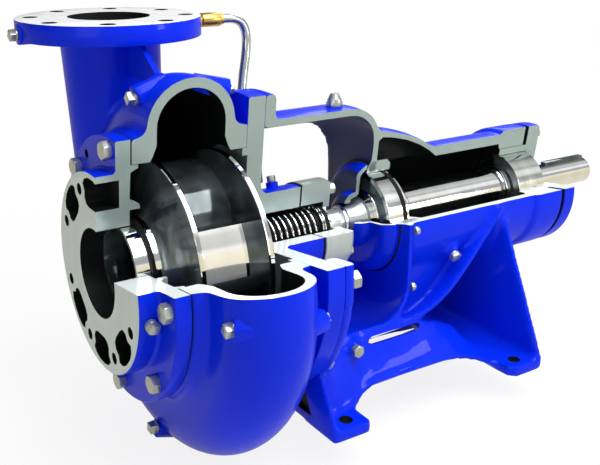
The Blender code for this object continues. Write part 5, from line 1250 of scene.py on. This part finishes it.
RING_ANGLES = (0, 90, 135, 180, 225, 270, 315)

# name, solid replaced, first number, x of the seat, radius of the circle, side, head width and height,
# radius and length of the shank, angles
BOLT_CIRCLES = (
    ("cover_screw", "cover_bolt", 1, 23.2, COVER_BOLTS, -1, 19.0, 9.5, 6.6, 26.8, RING_ANGLES),
    ("frame_screw", "frame_bolt", 1, 220.2, 168.0, 1, 13.0, 4.0, 6.0, 34.2, RING_ANGLES[:1]),
    ("frame_screw", "frame_bolt", 2, 220.2, 168.0, 1, 19.0, 11.0, 6.0, 34.2, RING_ANGLES[1:]),
    ("gland_screw", "gland_bolt", 1, 309.2, 47.0, 1, 13.0, 8.0, 4.0, 59.2, (0, 120, 240)),
)

# angle and radius of each screw in the bulkhead
BULKHEAD_SCREWS = ((88, 90), (130, 113), (180, 113), (230, 113), (272, 90))


class PUMP_OT_bolts(bpy.types.Operator):
    """Model one bolt of each kind and copy it round its circle"""
    bl_idname = "pump.bolts"
    bl_label = "Bolts"

    def execute(self, context):
        count = 0
        for name, solid, number, x, r, side, across, height, shank, reach, angles in BOLT_CIRCLES:
            first = hex_head("first", across, height, shank, reach)
            for k, a in enumerate(angles, number):
                ob = placed(copied(first, "%s_%d" % (name, k)), at(x, r, a), (side, 0, 0), count * 23.0)
                settle(ob, "casing", ["%s_%d" % (solid, k)])
                count += 1
            bpy.data.objects.remove(first, do_unlink=True)
        first = hex_head("first", 10, 6)
        for k, (a, r) in enumerate(BULKHEAD_SCREWS):
            screw = copied(first, "bulkhead_screw_%d" % (k + 1))
            settle(placed(screw, at(378.2, r, a), (1, 0, 0), k * 19.0), "casing")
        bpy.data.objects.remove(first, do_unlink=True)
        return {"FINISHED"}


def square_plug(name, seat, out, size, collar, height, turn):
    """A round collar on its seat with a square head that tapers outwards."""
    out = Vector(out).normalized()
    seat = Vector(seat)
    body = rod(name, seat, seat + out * collar, size * 0.64, 32)
    soften(body, 0.6, 2)
    head = rod("head", seat + out * (collar * 0.5), seat + out * (collar + height), size * 0.7071, 4,
               size * 0.66, turn)
    soften(head, 0.9, 2, 50)
    return coat(joined(name, [body, head]), "zinc")


class PUMP_OT_plugs(bpy.types.Operator):
    """Model the square and hexagon plugs and the breather cap"""
    bl_idname = "pump.plugs"
    bl_label = "Plugs and breather"

    def execute(self, context):
        for k, (deg, r, x, _, _) in enumerate(TAPS):
            side, size, height = (-1, 12, 8) if x < SCROLL_X else (1, 10, 6)
            plug = square_plug("casing_tap_%d" % (k + 1), at(x + 0.4 * side, r, deg), (side, 0, 0), size, 3,
                               height, 20.0 * k)
            settle(plug, "casing")
        plug = square_plug("flange_tap", (-7.5, NECK_Y, 240), (-1, 0, 0), 11, 2.5, 7.5, 12)
        settle(plug, "casing", ["flange_plug"])
        plug = square_plug("gauge_tap", at(12, 114.7, 100), at(0, 1, 100), 11, 6, 6, 30)
        settle(plug, "casing", ["gauge_plug"])
        screw = placed(hex_head("drain_screw", 14, 7.5, 4.6, 5.3), at(DRAIN_X, 90.3, DRAIN_ANGLE),
                       at(0, 1, DRAIN_ANGLE))
        settle(screw, "casing", ["drain_plug"])
        screw = placed(hex_head("side_screw", 14, 8.0, 5.0, 10.3), (LUG_X, -104.3, LUG_Z), (0, -1, 0))
        settle(screw, "casing", ["side_plug"])
        bits = [soften(rod("breather", (318, 0, 151), (318, 0, 157.5), 10.5, 6), 0.8, 2, 50)]
        bits.append(rod("breather_stem", (318, 0, 142), (318, 0, 152), 5.8, 24))
        bits.append(rod("breather_hood", (318, 0, 157), (318, 0, 161), 9.4, 32, 8.6))
        bits.append(rod("breather_crown", (318, 0, 160.6), (318, 0, 167.6), 8.4, 32, 5.0))
        settle(coat(joined("breather", bits), "zinc"), "casing", ["breather_cap"])
        return {"FINISHED"}


# middle line of the flush tube, from the discharge flange to the nipple on the seal chamber
FLUSH_PATH = (
    (267.5, 194, 243), (276, 194, 243), (284, 194, 242.6), (292, 194, 240.5), (298.5, 194, 236),
    (303, 193.5, 229), (305, 192.5, 219), (304.6, 191.5, 206), (301.5, 189, 190), (295, 185, 165),
    (288.5, 178, 140), (283, 166, 117), (278, 150, 100), (273, 130, 91), (268, 112, 85), (260, 94, 77),
    (252, 78, 67), (247, 68, 59.5), (243, 60, 52),
)


class PUMP_OT_flush_line(bpy.types.Operator):
    """Bend the flush tube and model the fittings at its ends"""
    bl_idname = "pump.flush_line"
    bl_label = "Flush line"

    def execute(self, context):
        draw_outline("flush_pipe", [Vector(p) for p in FLUSH_PATH], closed=False)
        leave_edit()
        bpy.ops.object.convert(target="CURVE")
        ob = bpy.context.object
        spline = ob.data.splines[0]
        spline.type = "BEZIER"
        for p in spline.bezier_points:
            p.handle_left_type = p.handle_right_type = "AUTO"
        spline.resolution_u = 4
        ob.data.bevel_depth = 6.2
        ob.data.bevel_resolution = 6
        ob.data.use_fill_caps = True
        bpy.ops.object.convert(target="MESH")
        ob = bpy.context.object
        settle(coat(ob, "tube"), "casing", ["flush_tube"], 50)
        y, z = FLUSH_PATH[0][1:]
        bits = [soften(rod("brass_fitting", (225, y, z), (235.4, y, z), 9.2, 6), 0.7, 2, 50)]
        bits.append(rod("stub", (223.8, y, z), (240, y, z), 6.4, 32))
        bits.append(soften(rod("sleeve", (237, y, z), (264.5, y, z), 9.3, 40), 1.2, 2))
        bits.append(rod("lip", (264, y, z), (268.6, y, z), 7.6, 40))
        settle(coat(joined("brass_fitting", bits), "brass"), "casing", ["flush_fitting"])
        elbow = rod("elbow_nut", at(NIPPLE_X, 65.2, NIPPLE_ANGLE), at(NIPPLE_X, 73, NIPPLE_ANGLE), 5.6, 6)
        settle(coat(soften(elbow, 0.8, 2, 50), "zinc"), "casing", ["flush_elbow"])
        return {"FINISHED"}


# Stage

# lamp, place in metres, size and share of the power
LAMPS = (
    ("key", (0.20, -0.70, 1.80), 1.5, 1.0), ("fill", (-1.9, -1.4, 0.7), 1.1, 0.4),
    ("rim", (1.3, 1.2, 1.5), 1.0, 1.0), ("side", (1.4, -1.7, 0.8), 0.45, 0.5),
)

# grey of the studio that the metal mirrors, from level on the near side, over the top, to level behind
STUDIO = (
    (0.105, 0.95), (0.13, 0.42), (0.21, 0.46), (0.24, 0.95), (0.32, 1.0), (0.37, 0.50), (0.43, 0.70),
    (0.52, 0.50), (0.57, 0.26), (0.63, 0.13), (0.90, 0.13),
)


def floor_finish():
    """White that takes a soft shadow near the pump and runs into the background further out; seen in the
    metal it glows cream, a painted reflection.
    """
    m = bpy.data.materials.new("white floor")
    m.use_nodes = True
    t = m.node_tree
    p = t.nodes["Principled BSDF"]
    p.inputs["Base Color"].default_value = (0.86, 0.86, 0.86, 1)
    p.inputs["Roughness"].default_value = 0.9
    p.inputs["Specular IOR Level"].default_value = 0.1
    glow = node(t, "ShaderNodeEmission", Strength=1.0)
    # To glossy rays the floor glows cream instead of white: a painted cream reflection in the metal
    mirrored_cream_glow = t.nodes.new("ShaderNodeMix")
    mirrored_cream_glow.data_type = "RGBA"
    mirrored_cream_glow.inputs[6].default_value, mirrored_cream_glow.inputs[7].default_value = (1, 1, 1, 1), (0.80, 0.74, 0.58, 1)
    path = t.nodes.new("ShaderNodeLightPath")
    mix = t.nodes.new("ShaderNodeMixShader")
    place = t.nodes.new("ShaderNodeTexCoord")
    span = t.nodes.new("ShaderNodeVectorMath")
    span.operation = "LENGTH"
    far = node(t, "ShaderNodeMapRange", From_Min=0.28, From_Max=1.1, To_Min=0.86, To_Max=1.0)
    seen = calc(t, "MAXIMUM", path.outputs["Is Camera Ray"], path.outputs["Is Glossy Ray"])
    share = calc(t, "MULTIPLY", seen, far.outputs[0])
    links(t, (path.outputs["Is Glossy Ray"], mirrored_cream_glow.inputs[0]), (mirrored_cream_glow.outputs[2], glow.inputs["Color"]),
          (place.outputs["Object"], span.inputs[0]), (span.outputs["Value"], far.inputs["Value"]),
          (share, mix.inputs[0]), (p.outputs[0], mix.inputs[1]), (glow.outputs[0], mix.inputs[2]),
          (mix.outputs[0], t.nodes["Material Output"].inputs[0]))
    return m


def studio():
    """White to the camera, a dim even light, and a banded room in the mirror of the metal."""
    world = bpy.data.worlds.new("studio")
    world.use_nodes = True
    t = world.node_tree
    light = t.nodes["Background"]
    light.inputs["Color"].default_value = (1, 1, 1, 1)
    light.inputs["Strength"].default_value = 0.20
    seen = node(t, "ShaderNodeBackground", Color=(1, 1, 1, 1), Strength=1.0)
    mirror = t.nodes.new("ShaderNodeBackground")
    coord = t.nodes.new("ShaderNodeTexCoord")
    parts = t.nodes.new("ShaderNodeSeparateXYZ")
    ramp = t.nodes.new("ShaderNodeValToRGB")
    turn = calc(t, "ARCTAN2", parts.outputs[2], calc(t, "MULTIPLY", parts.outputs[1], -1.0))
    bands = ramp.color_ramp.elements
    bands[0].position, bands[0].color = 0.0, (0.90, 0.81, 0.56, 1)
    bands[1].position, bands[1].color = 1.0, (0.30, 0.32, 0.33, 1)
    bands.new(0.085).color = (0.93, 0.86, 0.66, 1)
    for position, grey in STUDIO:
        bands.new(position).color = (grey, grey, grey, 1)
    path = t.nodes.new("ShaderNodeLightPath")
    lit, shown = t.nodes.new("ShaderNodeMixShader"), t.nodes.new("ShaderNodeMixShader")
    links(t, (coord.outputs["Generated"], parts.inputs[0]),
          (calc(t, "DIVIDE", turn, math.pi), ramp.inputs[0]), (ramp.outputs[0], mirror.inputs["Color"]),
          (path.outputs["Is Glossy Ray"], lit.inputs[0]), (light.outputs[0], lit.inputs[1]),
          (mirror.outputs[0], lit.inputs[2]), (path.outputs["Is Camera Ray"], shown.inputs[0]),
          (lit.outputs[0], shown.inputs[1]), (seen.outputs[0], shown.inputs[2]),
          (shown.outputs[0], t.nodes["World Output"].inputs[0]))
    return world


class PUMP_OT_stage(bpy.types.Operator):
    """Lay the floor, hang the lamps and place the camera"""
    bl_idname = "pump.stage"
    bl_label = "Stage"

    def execute(self, context):
        s = context.scene.pump_stage
        scene = context.scene
        scene.view_settings.view_transform = "Standard"
        bpy.ops.object.select_all(action="DESELECT")
        bpy.ops.mesh.primitive_plane_add(size=14.0, location=(0, 0, SOLID_BOX[0].z - 0.0005))
        floor = bpy.context.object
        floor.name = "floor"
        floor.data.materials.append(floor_finish())
        scene.world = studio()
        centre = Vector((0.0, 0.0, 0.25))
        for name, place, size, share in LAMPS:
            bpy.ops.object.light_add(type="AREA", location=place)
            lamp = bpy.context.object
            lamp.name = name
            lamp.data.shape = "SQUARE"
            lamp.data.size = size
            lamp.data.energy = share * (s.key_power if name == "key" else s.fill_power)
            lamp.rotation_mode = "QUATERNION"
            lamp.rotation_quaternion = (centre - Vector(place)).to_track_quat("-Z", "Y")
        bpy.ops.object.camera_add(location=(Vector((-315.55, -884.385, 373.04)) + ORIGIN) * MM)
        cam = bpy.context.object
        cam.rotation_mode = "QUATERNION"
        cam.rotation_quaternion = Vector((0.518, 0.7985, -0.3069)).to_track_quat("-Z", "Y")
        cam.data.lens = s.lens
        cam.data.sensor_width = 36.0
        cam.data.shift_x, cam.data.shift_y = 0.0106, -0.0447
        cam.data.clip_start, cam.data.clip_end = 0.05, 50.0
        scene.camera = cam
        return {"FINISHED"}


STEPS = (
    PUMP_OT_finishes, PUMP_OT_casing, PUMP_OT_discharge_flange, PUMP_OT_cover, PUMP_OT_rings,
    PUMP_OT_impeller, PUMP_OT_shaft, PUMP_OT_seal, PUMP_OT_bearings, PUMP_OT_back_plate,
    PUMP_OT_front_cover, PUMP_OT_cartridge, PUMP_OT_bearing_frame, PUMP_OT_bolts, PUMP_OT_plugs,
    PUMP_OT_flush_line, PUMP_OT_stage,
)

GROUPS = (
    ("pump_castings", CastingSizes), ("pump_rotor", RotorSizes), ("pump_colours", FinishColours),
    ("pump_stage", StageSettings),
)


class PUMP_PT_panel(bpy.types.Panel):
    """Sidebar panel that lists the sizes, colours and building steps"""
    bl_idname = "PUMP_PT_panel"
    bl_label = "Slurry pump"
    bl_space_type = "VIEW_3D"
    bl_region_type = "UI"
    bl_category = "Pump"

    def draw(self, context):
        for name, _ in GROUPS:
            group = getattr(context.scene, name)
            box = self.layout.box()
            for key in group.__annotations__:
                box.prop(group, key)
        for step in STEPS:
            self.layout.operator(step.bl_idname)


def register():
    for name, group in GROUPS:
        bpy.utils.register_class(group)
        setattr(bpy.types.Scene, name, bpy.props.PointerProperty(type=group))
    for cls in STEPS + (PUMP_PT_panel,):
        bpy.utils.register_class(cls)


def unregister():
    for cls in reversed(STEPS + (PUMP_PT_panel,)):
        bpy.utils.unregister_class(cls)
    for name, group in reversed(GROUPS):
        delattr(bpy.types.Scene, name)
        bpy.utils.unregister_class(group)


def main():
    register()
    for step in STEPS:
        part, action = step.bl_idname.split(".")
        getattr(getattr(bpy.ops, part), action)()


if __name__ == "__main__":
    main()
